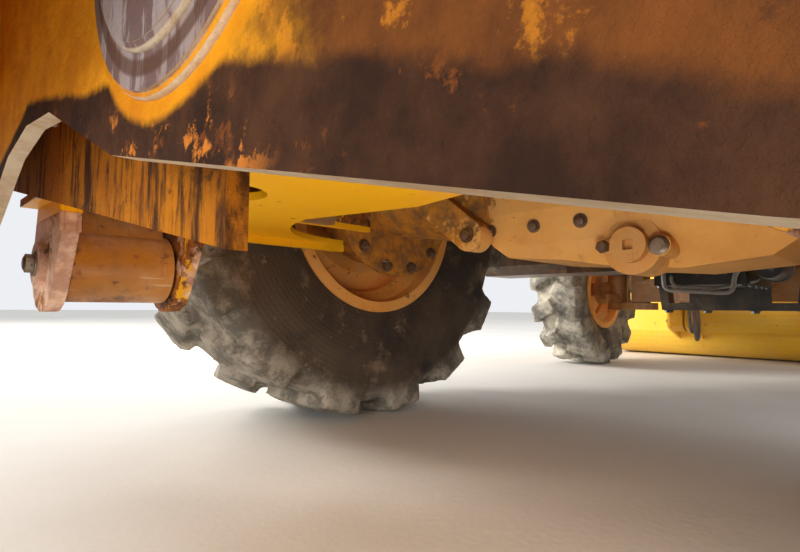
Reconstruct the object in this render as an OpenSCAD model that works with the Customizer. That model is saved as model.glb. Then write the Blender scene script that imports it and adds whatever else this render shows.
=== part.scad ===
// Backhoe loader: front loader, cab, rear digging arm and two swing-down stabilizers.
// Millimetres. +X forward, +Y left, +Z up. The modules measure x from the rear axle,
// and placed() moves the whole machine so that its origin is the middle of its footprint.

/* [Wheels] */
// Distance between the axles
wheelbase = 2170; // [2100:10:2250]
// Outer radius of a rear tyre over its lugs
rear_tyre_r = 690; // [670:5:700]
// Width of a rear tyre
rear_tyre_w = 470; // [440:10:480]
// Middle of a rear wheel from the machine's centre plane
rear_wheel_y = 830; // [820:5:850]
// Outer radius of a front tyre over its lugs
front_tyre_r = 480; // [470:5:485]
// Width of a front tyre
front_tyre_w = 315; // [290:5:320]
// Middle of a front wheel from the machine's centre plane
front_wheel_y = 930; // [920:5:940]
// Height of a tyre's lugs above its carcass
lug_h = 34; // [20:1:40]
// Lugs on each side of a rear tyre
rear_lugs = 15; // [12:1:18]
// Lugs on each side of a front tyre
front_lugs = 14; // [12:1:18]

/* [Frame] */
// Distance of a frame rail from the centre plane
rail_y = 360; // [350:5:370]
// Thickness of a frame rail
rail_t = 26; // [20:1:30]
// Top of the frame rails
rail_top = 1020; // [1000:5:1020]
// Front face of the nose
nose_x = 2600; // [2560:10:2620]
// Height of the belly plate behind the rear axle
belly_z = 548; // [540:1:560]

/* [Cab] */
// Height of the cab floor
floor_z = 1030; // [1030:1:1040]
// Underside of the roof
roof_z = 2790; // [2700:10:2850]
// Half the cab's width
cab_y = 720; // [700:5:730]
// Rear and front faces of the cab
cab_x = [-740, 1040];
// Width of a cab post
post_w = 60; // [50:5:70]

/* [Loader] */
// Half the loader bucket's width
bucket_half_w = 1150; // [1120:5:1200]
// Thickness of the loader bucket's plates
bucket_t = 16; // [12:1:20]
// Angle the loader lifts through
lift_deg = 83; // [78:1:84]
// Angle the loader bucket dumps through
dump_deg = 125; // [115:1:125]
// Angle the loader bucket rolls back through
rollback_deg = 40; // [30:1:42]

/* [Digging arm] */
// Half the boom's width
boom_half_w = 100; // [90:5:105]
// Half the digging bucket's width
dig_half_w = 300; // [250:10:305]
// Angle the boom comes down through
boom_deg = 140; // [120:1:142]
// Angle the dipper opens through
dipper_deg = 110; // [90:1:112]
// Angle the digging bucket opens through
curl_deg = 165; // [150:1:165]

/* [Stabilizers] */
// Angle a stabilizer swings down through
leg_deg = 89; // [86:1:90]
// Lean of a folded stabilizer, outwards from upright
leg_tilt = 30; // [28:1:31]
// Length of a stabilizer leg from its pivot to the middle of its pad
leg_len = 760; // [740:5:770]
// Distance that the right stabilizer stands further out than the left one
right_leg_out = 200; // [190:5:205]

/* [Hidden] */
$fn = 40;

// Paint and bare materials
yellow = [0.93, 0.68, 0.12];
dusty_yellow = [0.74, 0.58, 0.30];
black = [0.08, 0.08, 0.08];
grey = [0.45, 0.45, 0.46];
chrome = [0.80, 0.80, 0.82];
rubber = [0.13, 0.12, 0.11];
glass = [0.60, 0.75, 0.80, 0.35];

// Clearances
pin_gap = 0.5;
side_gap = 6;

// Heights and places of the axles
rear_hub_z = rear_tyre_r;
front_hub_z = front_tyre_r;
kingpin_y = 720;
rim_rear_r = 355;
rim_front_r = 250;
stub_r = 60;

// Loader: pins as [x, z] at rest, and the lateral planes of its parts
arm_pin = [1300, 1550];
arm_y = [545, 625];
arm_mid_y = 585;
lift_base = [1250, 780];
lift_eye = [2150, 1180];
bucket_pin = [2930, 270];
lever_pin = [2420, 1110];
ear_vector = [58, 330];
bucket_top_pin = bucket_pin + ear_vector;
link_pin = lever_pin + ear_vector;
tilt_base = [1560, 1440];
tilt_eye = lever_pin + 220 * [cos(117), sin(117)];
lever_y = [517, 537];
link_y = [487, 509];
tilt_y = 463;
tower_t = 22;

// Digging arm: pins as [x, z] at rest
swing_x = -1420;
boom_foot = [-1700, 850];
boom_tip = [-1660, 3200];
boom_base = [-1530, 1110];
boom_eye = [-1455, 1975];
dipper_len = 1550;
dipper_tilt = 35;
dip_u = [-sin(dipper_tilt), -cos(dipper_tilt)];
dip_n = [-cos(dipper_tilt), sin(dipper_tilt)];
dipper_end = boom_tip + dipper_len * dip_u;
dipper_base = [-1370, 2260];
horn_eye = boom_tip + 330 * [cos(70), sin(70)];
lever_foot = dipper_end - 360 * dip_u;
curl_start = 90 - dipper_tilt + 190;
curl_pin = dipper_end + 260 * [cos(curl_start), sin(curl_start)];
lever_len = 420;
link_len = 420;
lever_tip = meet(lever_foot, lever_len, curl_pin, link_len, dip_n);
curl_base = on_dipper(1360, 250);

// Stabilizers: pins as [y, z] at rest on the left side
leg_x = [-940, -760];
leg_mid_x = -850;
leg_pin = [500, 425];
leg_u = [sin(leg_tilt), cos(leg_tilt)];
leg_n = [-cos(leg_tilt), sin(leg_tilt)];
leg_eye = on_leg(330, 162);
leg_base = [250, 1450];

front_reach = bucket_pin[0] + 950;
rear_reach = lever_tip[0] - 45;
rear_axle_x = -(front_reach + rear_reach) / 2;

// A point turned about a pin, counter-clockwise in its own plane
function turned(p, o, a) = o + [cos(a) * (p - o)[0] - sin(a) * (p - o)[1],
                                sin(a) * (p - o)[0] + cos(a) * (p - o)[1]];
// The point at distance ra from a and rb from b, on the side that "side" points to
function meet(a, ra, b, rb, side) =
    let (d = norm(b - a),
         along = (ra * ra - rb * rb + d * d) / (2 * d),
         up = sqrt(ra * ra - along * along),
         e = (b - a) / d,
         n = [-e[1], e[0]],
         s = n * side > 0 ? 1 : -1)
    a + along * e + s * up * n;
function shortest(base, eye, pivot, a) = min(norm(eye - base), norm(turned(eye, pivot, a) - base));
// A point given along the dipper from its end towards the boom, and out to its rear side
function on_dipper(a, b) = dipper_end - a * dip_u + b * dip_n;
// A point of a stabilizer leg, from its pivot along the leg and out to its inboard side
function on_leg(a, b) = leg_pin + a * leg_u + b * leg_n;
// A point, or a closed half outline with its ends on the centre line, given both sides
function on_side(s, p) = [s * p[0], p[1]];
// A point of the stabilizers on the left or the right side
function leg_side(s, p) = on_side(s, p + [s < 0 ? right_leg_out : 0, 0]);
function both_halves(h) = concat(h, [for (i = [len(h) - 2:-1:1]) on_side(-1, h[i])]);
// Points of an arc, angles in degrees
function arc(c, r, a0, a1, n) = [for (i = [0:n]) c + r * [cos(a0 + (a1 - a0) * i / n),
                                                          sin(a0 + (a1 - a0) * i / n)]];

// The other half of a wheel's profile
function mirrored(p) = [for (i = [len(p) - 1:-1:0]) [p[i][0], -p[i][1]]];

module placed() { translate([rear_axle_x, 0, 0]) children(); }
module both_sides() { children(); mirror([0, 1, 0]) children(); }
module box(a, b) { translate(a) cube(b - a); }
// Outlines in the XZ plane between two y, and in the YZ plane between two x
module slab_xz(y0, y1) { translate([0, y1, 0]) rotate([90, 0, 0]) linear_extrude(y1 - y0) children(); }
module slab_yz(x0, x1) { translate([x0, 0, 0]) rotate([90, 0, 90]) linear_extrude(x1 - x0) children(); }
module rod_y(p, r, y0, y1) { translate([p[0], y1, p[1]]) rotate([90, 0, 0]) cylinder(r = r, h = y1 - y0); }
module rod_x(p, r, x0, x1) { translate([x0, p[0], p[1]]) rotate([0, 90, 0]) cylinder(r = r, h = x1 - x0); }
module rod_z(p, r, z0, z1) { translate([p[0], p[1], z0]) cylinder(r = r, h = z1 - z0); }
// A bar with round ends between two pins
module link2d(a, b, ra, rb) {
    d = norm(b - a);
    dir = atan2(b[1] - a[1], b[0] - a[0]);
    s = acos((ra - rb) / d);
    translate(a) circle(r = ra);
    translate(b) circle(r = rb);
    polygon([for (e = [[a, ra, s], [b, rb, s], [b, rb, -s], [a, ra, -s]])
        e[0] + e[1] * [cos(dir + e[2]), sin(dir + e[2])]]);
}
// Local +Z from one pin towards another, with the pins' axis along local Y
module along_xz(at, p, q, y) {
    translate([at[0], y, at[1]]) rotate([0, 90 - atan2(q[1] - p[1], q[0] - p[0]), 0]) children();
}
module along_yz(at, p, q, x) {
    translate([x, at[0], at[1]]) rotate([atan2(q[1] - p[1], q[0] - p[0]) - 90, 0, 0])
        rotate([0, 0, 90]) children();
}
// Hydraulic cylinder, tube: base eye at the local origin, sized by its shortest pin distance
module barrel_tube(r, rod_r, eye_r, eye_w, pin_r, shortest_len) {
    len = shortest_len - eye_r - 8;
    difference() {
        union() {
            translate([0, 0, eye_r * 0.7]) cylinder(r = r, h = len - eye_r * 0.7);
            translate([0, 0, len - 40]) cylinder(r = r + 7, h = 40);
            rotate([90, 0, 0]) cylinder(r = eye_r, h = eye_w, center = true);
        }
        rotate([90, 0, 0]) cylinder(r = pin_r + pin_gap, h = eye_w + 2, center = true);
        translate([0, 0, eye_r + 12]) cylinder(r = rod_r + pin_gap, h = len);
    }
}
// Hydraulic cylinder, rod: its eye at the local origin, its shaft down local -Z
module rod_shaft(rod_r, eye_r, eye_w, base_eye_r, shortest_len) {
    len = shortest_len - base_eye_r - 20;
    translate([0, 0, -len]) cylinder(r = rod_r, h = len);
    rotate([90, 0, 0]) cylinder(r = eye_r, h = eye_w, center = true);
}

// Chassis

rail_outline = [
    [-1000, rail_top], [nose_x - 60, rail_top], [nose_x - 60, 700], [1850, 700], [1700, 640],
    [420, 640], [280, 860], [-280, 860], [-420, belly_z], [-1000, belly_z]
];
// Loader tower, seen from the side
tower_outline = [
    [1050, 560], [1420, 560], [1500, 760], [1480, 1180], [1400, 1560], [1340, 1640], [1250, 1640],
    [1190, 1560], [1050, 1080]
];

module main_frame() {
    color(dusty_yellow) {
        both_sides() {
            slab_xz(rail_y - rail_t / 2, rail_y + rail_t / 2) polygon(rail_outline);
            loader_tower();
        }
        for (x = [-985, 560]) box([x, -rail_y, 700], [x + 16, rail_y, 980]);
        box([nose_x - 60, -rail_y - 20, 640], [nose_x - 30, rail_y + 20, rail_top]);
        box([nose_x - 30, -rail_y - 20, 660], [nose_x + 40, rail_y + 20, 900]);
        front_axle_hanger();
        tow_clevis();
    }
}
tow_pin_r = 18;
tow_x = nose_x + 66;
module tow_clevis() {
    for (z = [700, 780]) difference() {
        box([nose_x + 30, -60, z], [nose_x + 92, 60, z + 22]);
        rod_z([tow_x, 0], tow_pin_r, z - 1, z + 23);
    }
}
module loader_tower() {
    inner = arm_y[0] - 8;
    outer = arm_y[1] + 8;
    for (y = [inner - tower_t, outer])
        slab_xz(y, y + tower_t) polygon(tower_outline);
    // Pins of the arm and of the lift cylinder's foot
    rod_y(arm_pin, 35, inner - tower_t - 6, outer + tower_t + 6);
    rod_y(lift_base, 30, inner - tower_t - 6, outer + tower_t + 6);
    // Brackets from the frame rail, and the foot that joins the two plates
    box([1080, rail_y + rail_t / 2, 660], [1400, inner - tower_t, 690]);
    box([1080, rail_y + rail_t / 2, 960], [1400, inner - tower_t, 990]);
    box([1070, inner - tower_t, 560], [1420, outer + tower_t, 584]);
}
module front_axle_hanger() {
    // Two cross walls with the bores of the axle's centre pin
    for (x = [wheelbase - 150, wheelbase + 120]) difference() {
        slab_yz(x, x + 30) polygon([[-rail_y, 780], [rail_y, 780], [rail_y, 720], [90, 400 + 60],
            [60, 425], [-60, 425], [-90, 460], [-rail_y, 720]]);
        rod_x([0, front_hub_z + 20], 35.5, x - 1, x + 31);
    }
}
module engine_cradle() {
    // U-shaped cross beam under the engine, between the rails, and its web to the sump
    top = rail_y - rail_t / 2;
    slab_yz(1690, 1780) polygon(both_halves([[0, 350], [300, 350], [top, 760], [top - 40, 760],
        [266, 386], [0, 386]]));
    box([1690, -170, 380], [1706, 170, 470]);
}

// Rear frame: the box that carries the digging arm and the stabilizers. Its front plate
// reaches past the middle from the left stabilizer, and its rear plate from the right one
front_plate_outline = [
    [-560, 1120], [560, 1120], [600, 800], [840, 760], [840, 621], [-300, 390], [-300, 534],
    [-560, 534]
];
arch_half = [
    [0, 1120], [540, 1120], [620, 800], [900, 600], [935, 520], [935, 350], [800, 330],
    [620, 366], [280, 445], [100, 520], [0, 532]
];
arch_disc = [-375, 590];
module rear_frame() {
    color(dusty_yellow) {
        slab_yz(-1018, -1001) polygon(front_plate_outline);
        slab_yz(-1285, -1267) polygon([for (p = front_plate_outline) on_side(-1, p)]);
        // Arched cross plate with a ringed disc on each side
        slab_yz(-1086, -1070) polygon(both_halves(arch_half));
        for (s = [-1, 1]) for (ring = [[128, 6], [104, 11], [66, 18]])
            rod_x(on_side(s, arch_disc), ring[0], -1086 - ring[1], -1086);
        both_sides() {
            box([-1267, 520, 620], [-1018, 540, 1120]);
            box([-1267, 200, 600], [-1018, 216, 1120]);
        }
        stabilizer_housing(0);
        mirror([0, 1, 0]) stabilizer_housing(right_leg_out);
        box([-1267, -540, 1100], [-1018, 540, 1120]);
        swing_ears();
        stabilizer_tower();
    }
    color(yellow) belly_plate();
}
// Belly plate, as [y, x]: hollowed round the axle in front, with a wing and a lip on each side
belly_half = concat([[0, -1001], [560, -1001], [560, -965], [420, -965], [420, -725], [580, -725],
    [580, -215]], arc([220, -215], 345, 0, -82, 8), [[0, -500]]);
module belly_plate() {
    translate([0, 0, belly_z - 14]) linear_extrude(14) difference() {
        rotate(90) mirror([0, 1]) polygon(both_halves(belly_half));
        for (s = [-1, 1]) translate([-800, s * 150]) circle(r = 70);
    }
    both_sides() {
        box([-725, 562, belly_z - 34], [-215, 580, belly_z - 14]);
        box([-725, rail_y + rail_t / 2, belly_z], [-280, rail_y + rail_t / 2 + 18, 700]);
    }
}
module swing_ears() {
    // Upper and lower ears with the bores of the swing axis
    for (z = [[550, 620], [980, 1040]]) difference() {
        union() {
            rod_z([swing_x, 0], 85, z[0], z[1]);
            translate([0, 0, z[0]]) linear_extrude(z[1] - z[0])
                polygon([[swing_x, 85], [-1285, 150], [-1285, -150], [swing_x, -85]]);
        }
        rod_z([swing_x, 0], 45.5, z[0] - 1, z[1] + 1);
    }
}
module stabilizer_housing(out) {
    // Saddle on the rail, the two ears of the leg's pivot and the pin through them
    inner = rail_y + rail_t / 2;
    pin = leg_pin + [out, 0];
    box([-1001, inner, belly_z], [-735, 440 + out, 720]);
    for (x = [[-972, -946], [-754, -728]])
        slab_yz(x[0], x[1]) polygon(concat([[inner, 720], [inner, 470 + out / 4]],
            arc(pin, 88, 215, 380, 8), [[560 + out, 548], [470 + out, 720]]));
    rod_x(pin, 40, -984, -716);
}
module stabilizer_tower() {
    // Two plates that hold the feet of the stabilizer cylinders
    tower_half = [[345, 990], [330, 1400], [290, 1500]];
    right_half = [[-290 - right_leg_out, 1500], [-330 - right_leg_out, 1400],
        [-340 - right_leg_out, 1200], [-345, 1060], [-345, 990]];
    for (x = [[-925, -905], [-795, -775]])
        slab_yz(x[0], x[1]) polygon(concat(tower_half, right_half));
    box([-1001, -345, 1021], [-775, 345, 1041]);
    for (s = [-1, 1]) rod_x(leg_side(s, leg_base), 25, -931, -769);
}

// Axles

// Axle housing: its section between the wheels, and its outline seen along the machine
housing_section = [
    [-150, 850], [-205, 800], [-205, 560], [-190, 490], [-120, 430], [120, 430], [190, 490],
    [205, 560], [205, 800], [150, 850]
];
housing_face = [
    [-560, 850], [-560, 560], [-515, 470], [-470, 444], [-325, 430], [-185, 442], [-108, 456],
    [26, 467], [60, 505], [110, 541], [140, 600], [140, 850]
];
filler = [-263, 470];
module rear_axle() {
    color(dusty_yellow) {
        difference() {
            union() {
                intersection() {
                    slab_xz(-560, 140) polygon(housing_section);
                    slab_yz(-210, 210) polygon(housing_face);
                }
                // Filler boss on its raised pad, with two smaller bosses beside it
                rod_x(filler, 54, -196, -100);
                rod_x(filler, 33, -218, -196);
                rod_x(filler + [36, 0], 15, -206, -100);
                rod_x(filler + [-52, -4], 20, -208, -100);
            }
            box([-219, filler[0] - 9, filler[1] - 9], [-206, filler[0] + 9, filler[1] + 9]);
        }
        // Stay at the left of the cover, and the nose of the drive shaft
        slab_yz(-250, -205) link2d([225, 630], [78, 515], 36, 36);
        slab_yz(-215, -195) polygon([[60, 560], [150, 560], [200, 660], [60, 700]]);
        rod_x([60, rear_hub_z - 30], 62, 205, 236);
        // Trumpets, flanges, final drives and the hubs that carry the rims
        rod_y([0, rear_hub_z], 125, -rear_wheel_y + 350, rear_wheel_y - 350);
        both_sides() {
            translate([0, 480, rear_hub_z]) rotate([90, 0, 0]) cylinder(r1 = 118, r2 = 158, h = 240);
            rod_y([0, rear_hub_z], 112, 470, 560);
            rod_y([0, rear_hub_z], 238, 545, 573);
            rod_y([0, rear_hub_z], 188, 573, rear_wheel_y - 118);
            rod_y([0, rear_hub_z], stub_r, rear_wheel_y - 118, rear_wheel_y + 95);
            for (a = [15:30:345])
                rod_y([215 * cos(a), rear_hub_z + 215 * sin(a)], 12, 573, 585);
            box([-130, rail_y - 70, rear_hub_z + 60], [130, rail_y + 60, 860]);
        }
    }
}
module front_axle() {
    color(yellow) {
        difference() {
            union() {
                slab_yz(wheelbase - 70, wheelbase + 70) polygon([[-610, 400], [-280, 395], [-120, 400],
                    [120, 400], [280, 395], [610, 400], [610, 520], [300, 560], [130, 590],
                    [-130, 590], [-300, 560], [-610, 520]]);
                both_sides() for (z = [[350, 392], [568, 610]])
                    translate([wheelbase, 0, z[0]]) linear_extrude(z[1] - z[0])
                        link2d([0, 560], [0, kingpin_y], 80, 62);
                both_sides() box([wheelbase - 60, 540, 350], [wheelbase + 60, 612, 610]);
            }
            both_sides() rod_z([wheelbase, kingpin_y], 30.5, 340, 620);
        }
        // Centre pin that the axle rocks on
        rod_x([0, front_hub_z + 20], 35, wheelbase - 156, wheelbase + 156);
    }
}
module knuckle() {
    // Steering knuckle with its king pin, stub axle and steering arm, at the left wheel
    color(dusty_yellow) {
        rod_z([wheelbase, kingpin_y], 30, 346, 614);
        rod_z([wheelbase, kingpin_y], 58, 395, 565);
        rod_y([wheelbase, front_hub_z], 50, kingpin_y, front_wheel_y - 70);
        rod_y([wheelbase, front_hub_z], 95, front_wheel_y - 120, front_wheel_y - 96);
        rod_y([wheelbase, front_hub_z], 42, front_wheel_y - 75, front_wheel_y + 92);
        translate([0, 0, 410]) linear_extrude(34)
            link2d([wheelbase - 40, kingpin_y], [wheelbase - 190, kingpin_y - 15], 30, 22);
    }
}

// Engine, sump, gearbox and drive shaft, one mass hung between the rails
module powertrain() {
    color(black) {
        box([1150, -240, 640], [1690, 240, 1380]);
        box([1690, -240, 800], [2080, 240, 1380]);
        // Mounts on the frame rails
        both_sides() for (x = [1180, 1900]) box([x, 240, 820], [x + 90, rail_y - rail_t / 2, 870]);
        both_sides() box([900, 210, 820], [980, rail_y - rail_t / 2, 870]);
        box([1200, -170, 455], [1690, 170, 640]);
        box([600, -210, 560], [1150, 210, 990]);
        rod_x([60, rear_hub_z - 30], 34, 236, 600);
        rod_x([-90, front_hub_z + 40], 26, 1690, 2014);
        // Filters and the fan's shroud
        for (x = [1280, 1430]) rod_z([x, 292], 46, 700, 900);
        for (x = [1280, 1430]) box([x - 30, 240, 860], [x + 30, 262, 895]);
        box([2180, -370, rail_top], [2240, 370, rail_top + 24]);
        box([2180, -300, rail_top + 24], [2240, 300, 1330]);
        box([2080, -60, 1040], [2180, 60, 1160]);
        engine_cradle();
    }
}

// Sheet metal

hood_top = [[1110, 1600], [1500, 1590], [2000, 1530], [2400, 1450], [2540, 1400]];
module hood() {
    w = 385;
    t = 14;
    color(yellow) difference() {
        union() {
            slab_xz(-w, w) polygon(concat([[1110, rail_top], [1110, 1600]], hood_top,
                [[2580, 1340], [2580, rail_top]]));
        }
        slab_xz(-w + t, w - t) polygon([[1100, rail_top - 1], [1100, 1586], [1500, 1576],
            [2000, 1516], [2400, 1436], [2530, 1386], [2566, 1330], [2566, rail_top - 1]]);
        rod_z([1900, -200], 40, 1400, 1700);
        // Grille mouth and the slots of the side panels
        box([2500, -290, 1080], [2600, 290, 1330]);
        for (x = [1500:90:2220]) for (s = [-1, 1])
            box([x, s * w - 20, 1180], [x + 46, s * w + 20, 1360]);
    }
}
module grille() {
    color(black) {
        for (z = [1060:30:1300]) box([2552, -304, z], [2566, 304, z + 14]);
        for (y = [-304, -150, -7, 136, 290]) box([2540, y, 1060], [2552, y + 14, 1314]);
    }
}
module exhaust() {
    color(grey) difference() {
        union() {
            rod_z([1900, -200], 62, 1560, 1800);
            rod_z([1900, -200], 32, 1380, 2240);
        }
        rod_z([1900, -200], 27, 2000, 2300);
        translate([1868, -240, 2240]) rotate([0, 40, 0]) cube([120, 80, 120]);
    }
}
module side_tanks() {
    // Fuel tank on the left, tool box and steps on the right, both hung on the rails
    color(dusty_yellow) box([800, 40, 497], [1040, rail_y + rail_t / 2, 552]);
    color(dusty_yellow) both_sides() {
        slab_xz(rail_y + rail_t / 2, 800) polygon([[800, 540], [840, 500], [1040, 500], [1040, 960],
            [800, 960]]);
        box([800, 800, 520], [1040, 900, 550]);
        box([800, 800, 760], [1040, 900, 780]);
    }
}
fender_r = 1486 - rear_hub_z;
module fenders() {
    color(yellow) both_sides() difference() {
        union() {
            slab_xz(560, 1075) difference() {
                translate([0, rear_hub_z]) circle(r = fender_r, $fn = 72);
                translate([0, rear_hub_z]) circle(r = fender_r - 14, $fn = 72);
            }
            slab_xz(560, 574) difference() {
                translate([0, rear_hub_z]) circle(r = fender_r - 14, $fn = 72);
                translate([0, rear_hub_z]) circle(r = 700, $fn = 72);
            }
        }
        box([-900, 0, -200], [900, 1200, 1060]);
        box([-900, 0, 0], [-620, 1200, 1500]);
        box([640, 0, 0], [900, 1200, 1500]);
    }
}

// Cab

// Outline of a side opening between two posts
front_post_x = cab_x[1] - post_w;
mid_post_x = 200;
rear_post_x = cab_x[0];
module cab_frame() {
    color(yellow) {
        // Floor, inner walls beside the wheels, and the wide foot well ahead of them
        box([cab_x[0], -560, floor_z - 10], [cab_x[1], 560, floor_z]);
        both_sides() {
            box([cab_x[0], 542, floor_z], [700, 560, 1110]);
            slab_xz(542, 560) polygon(concat([[cab_x[0], 1100], [cab_x[0], 1490], [-20, 1490]],
                arc([0, rear_hub_z], fender_r + 9, 88, 31, 12), [[697, 1100]]));
            box([700, 560, floor_z - 10], [cab_x[1], cab_y, floor_z]);
            box([700, 542, floor_z], [718, 560, 1100]);
            // Shelf over the wheel, curved down ahead of it, and the step panel
            box([cab_x[0], 542, 1486], [0, cab_y, 1500]);
            slab_xz(542, cab_y) polygon(concat([[-30, 1500], [-30, 1487]],
                arc([0, rear_hub_z], fender_r + 2, 88, 30, 12),
                arc([0, rear_hub_z], fender_r + 16, 30, 88, 12)));
            box([696, 560, floor_z], [710, cab_y, 1106]);
            // Posts
            for (x = [front_post_x, mid_post_x, rear_post_x])
                box([x, cab_y - post_w, x == front_post_x ? floor_z : x == mid_post_x ? 1462 : 1500],
                    [x + post_w, cab_y, roof_z]);
            // Rails under the roof and the rear quarter sill
            box([cab_x[0], cab_y - post_w, roof_z - 60], [cab_x[1], cab_y, roof_z]);
            box([cab_x[0] + post_w, cab_y - 40, 1500], [mid_post_x, cab_y, 1580]);
        }
        for (x = [front_post_x, rear_post_x])
            box([x, -cab_y + post_w, roof_z - 60], [x + post_w, cab_y - post_w, roof_z]);
        // Front wall and rear wall below the windows
        box([cab_x[1] - 20, -cab_y + post_w, floor_z], [cab_x[1], cab_y - post_w, 1660]);
        box([cab_x[0], -542, floor_z], [cab_x[0] + 18, 542, 1500]);
        box([cab_x[0], -cab_y + post_w, 1500], [cab_x[0] + 40, cab_y - post_w, 1620]);
        // Brackets and pins of the door hinges
        both_sides() for (z = door_hinge_z) {
            rod_z(door_hinge, 6, z - 16, z + 96);
            box([door_hinge[0] - 12, cab_y, z - 16], [front_post_x + 30, cab_y + 26, z - 4]);
        }
        // Console of the instruments
        box([860, -180, floor_z], [1020, 180, 1560]);
    }
}
module cab_roof() {
    front = cab_x[1] + 90;
    rear = cab_x[0] - 110;
    side = cab_y + 20;
    color(yellow) intersection() {
        slab_xz(-side, side) polygon([[rear, roof_z], [front, roof_z], [front, roof_z + 60],
            [front - 70, roof_z + 110], [rear + 70, roof_z + 110], [rear, roof_z + 60]]);
        slab_yz(rear, front) polygon([[-side, roof_z], [side, roof_z], [side, roof_z + 60],
            [side - 80, roof_z + 110], [80 - side, roof_z + 110], [-side, roof_z + 60]]);
    }
}
module cab_glass() {
    color(glass) {
        box([cab_x[1] - 12, -cab_y + post_w, 1660], [cab_x[1] - 6, cab_y - post_w, roof_z - 60]);
        box([cab_x[0] + 10, -cab_y + post_w, 1620], [cab_x[0] + 16, cab_y - post_w, roof_z - 60]);
        both_sides() box([cab_x[0] + post_w, cab_y - 16, 1580], [mid_post_x, cab_y - 10, roof_z - 60]);
    }
}
door_x = [266, 974];
door_y = [cab_y - 46, cab_y - 10];
door_hinge = [door_x[1], cab_y + 14];
door_hinge_z = [1600, 2400];
door_outer = concat([[door_x[0], roof_z - 66], [door_x[1], roof_z - 66], [door_x[1], floor_z + 8],
    [720, floor_z + 8]], arc([0, rear_hub_z], fender_r + 34, acos(720 / (fender_r + 34)),
    acos(door_x[0] / (fender_r + 34)), 10));
module door() {
    color(yellow) difference() {
        slab_xz(door_y[0], door_y[1]) polygon(door_outer);
        slab_xz(door_y[0] - 1, door_y[1] + 1) polygon([[door_x[0] + 55, 1570],
            [door_x[0] + 55, roof_z - 120], [door_x[1] - 55, roof_z - 120], [door_x[1] - 55, 1570]]);
        slab_xz(door_y[0] - 1, door_y[1] + 1) polygon([[780, 1120], [780, 1460], [door_x[1] - 55, 1460],
            [door_x[1] - 55, 1120]]);
    }
    color(black) {
        box([door_x[0] + 16, door_y[1], 1540], [door_x[0] + 46, door_y[1] + 30, 1680]);
        for (z = door_hinge_z) difference() {
            union() {
                rod_z(door_hinge, 12, z, z + 90);
                box([door_x[1] - 40, door_y[1], z], [door_x[1], door_hinge[1], z + 90]);
            }
            rod_z(door_hinge, 6.5, z - 1, z + 91);
        }
    }
}
module door_glass() {
    color(glass) {
        y = (door_y[0] + door_y[1]) / 2;
        box([door_x[0] + 55, y - 3, 1570], [door_x[1] - 55, y + 3, roof_z - 120]);
        box([780, y - 3, 1120], [door_x[1] - 55, y + 3, 1460]);
    }
}
module seat() {
    color(black) {
        box([-130, -200, floor_z], [230, 200, floor_z + 200]);
        box([-200, -255, floor_z + 200], [300, 255, floor_z + 330]);
        translate([-200, 0, floor_z + 330]) rotate([0, -8, 0]) box([0, -240, 0], [110, 240, 520]);
        both_sides() box([-150, 255, floor_z + 380], [180, 325, floor_z + 430]);
        both_sides() box([-20, 255, floor_z + 300], [40, 285, floor_z + 380]);
    }
}
module controls() {
    color(black) {
        // Steering column and wheel, loader lever, backhoe levers and pedals
        translate([660, 0, floor_z + 330]) rotate([0, -28, 0]) {
            difference() {
                cylinder(r = 200, h = 26);
                translate([0, 0, -1]) cylinder(r = 176, h = 28);
            }
            for (a = [90, 210, 330]) rotate([0, 0, a]) box([0, -14, 4], [180, 14, 18]);
            cylinder(r = 40, h = 30);
        }
        translate([720, 0, floor_z + 10]) rotate([0, -10, 0]) cylinder(r = 34, h = 335);
        box([660, -70, floor_z], [790, 70, floor_z + 24]);
        for (y = [-300, -380]) rod_z([560, y], 12, floor_z, floor_z + 420);
        for (y = [-300, -380]) translate([560, y, floor_z + 430]) sphere(r = 26);
        for (y = [-210, -120, 120, 210]) rod_z([-560, y], 12, floor_z + 200, floor_z + 560);
        for (y = [-210, -120, 120, 210]) translate([-560, y, floor_z + 570]) sphere(r = 26);
        box([-620, -270, floor_z], [-500, 270, floor_z + 200]);
    }
}
module lamps() {
    color("white") {
        both_sides() {
            box([cab_x[1] + 90, 420, roof_z + 4], [cab_x[1] + 150, 560, roof_z + 84]);
            box([cab_x[0] - 170, 420, roof_z + 4], [cab_x[0] - 110, 560, roof_z + 84]);
            rod_x([320, 1180], 52, 2580, 2612);
        }
        rod_z([-300, 300], 55, roof_z + 110, roof_z + 230);
    }
}
module mirrors() {
    color(black) both_sides() {
        box([cab_x[1] - 20, cab_y, 2350], [cab_x[1], cab_y + 190, 2366]);
        box([cab_x[1] - 30, cab_y + 130, 2130], [cab_x[1] - 8, cab_y + 290, 2350]);
    }
}

// Loader

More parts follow.
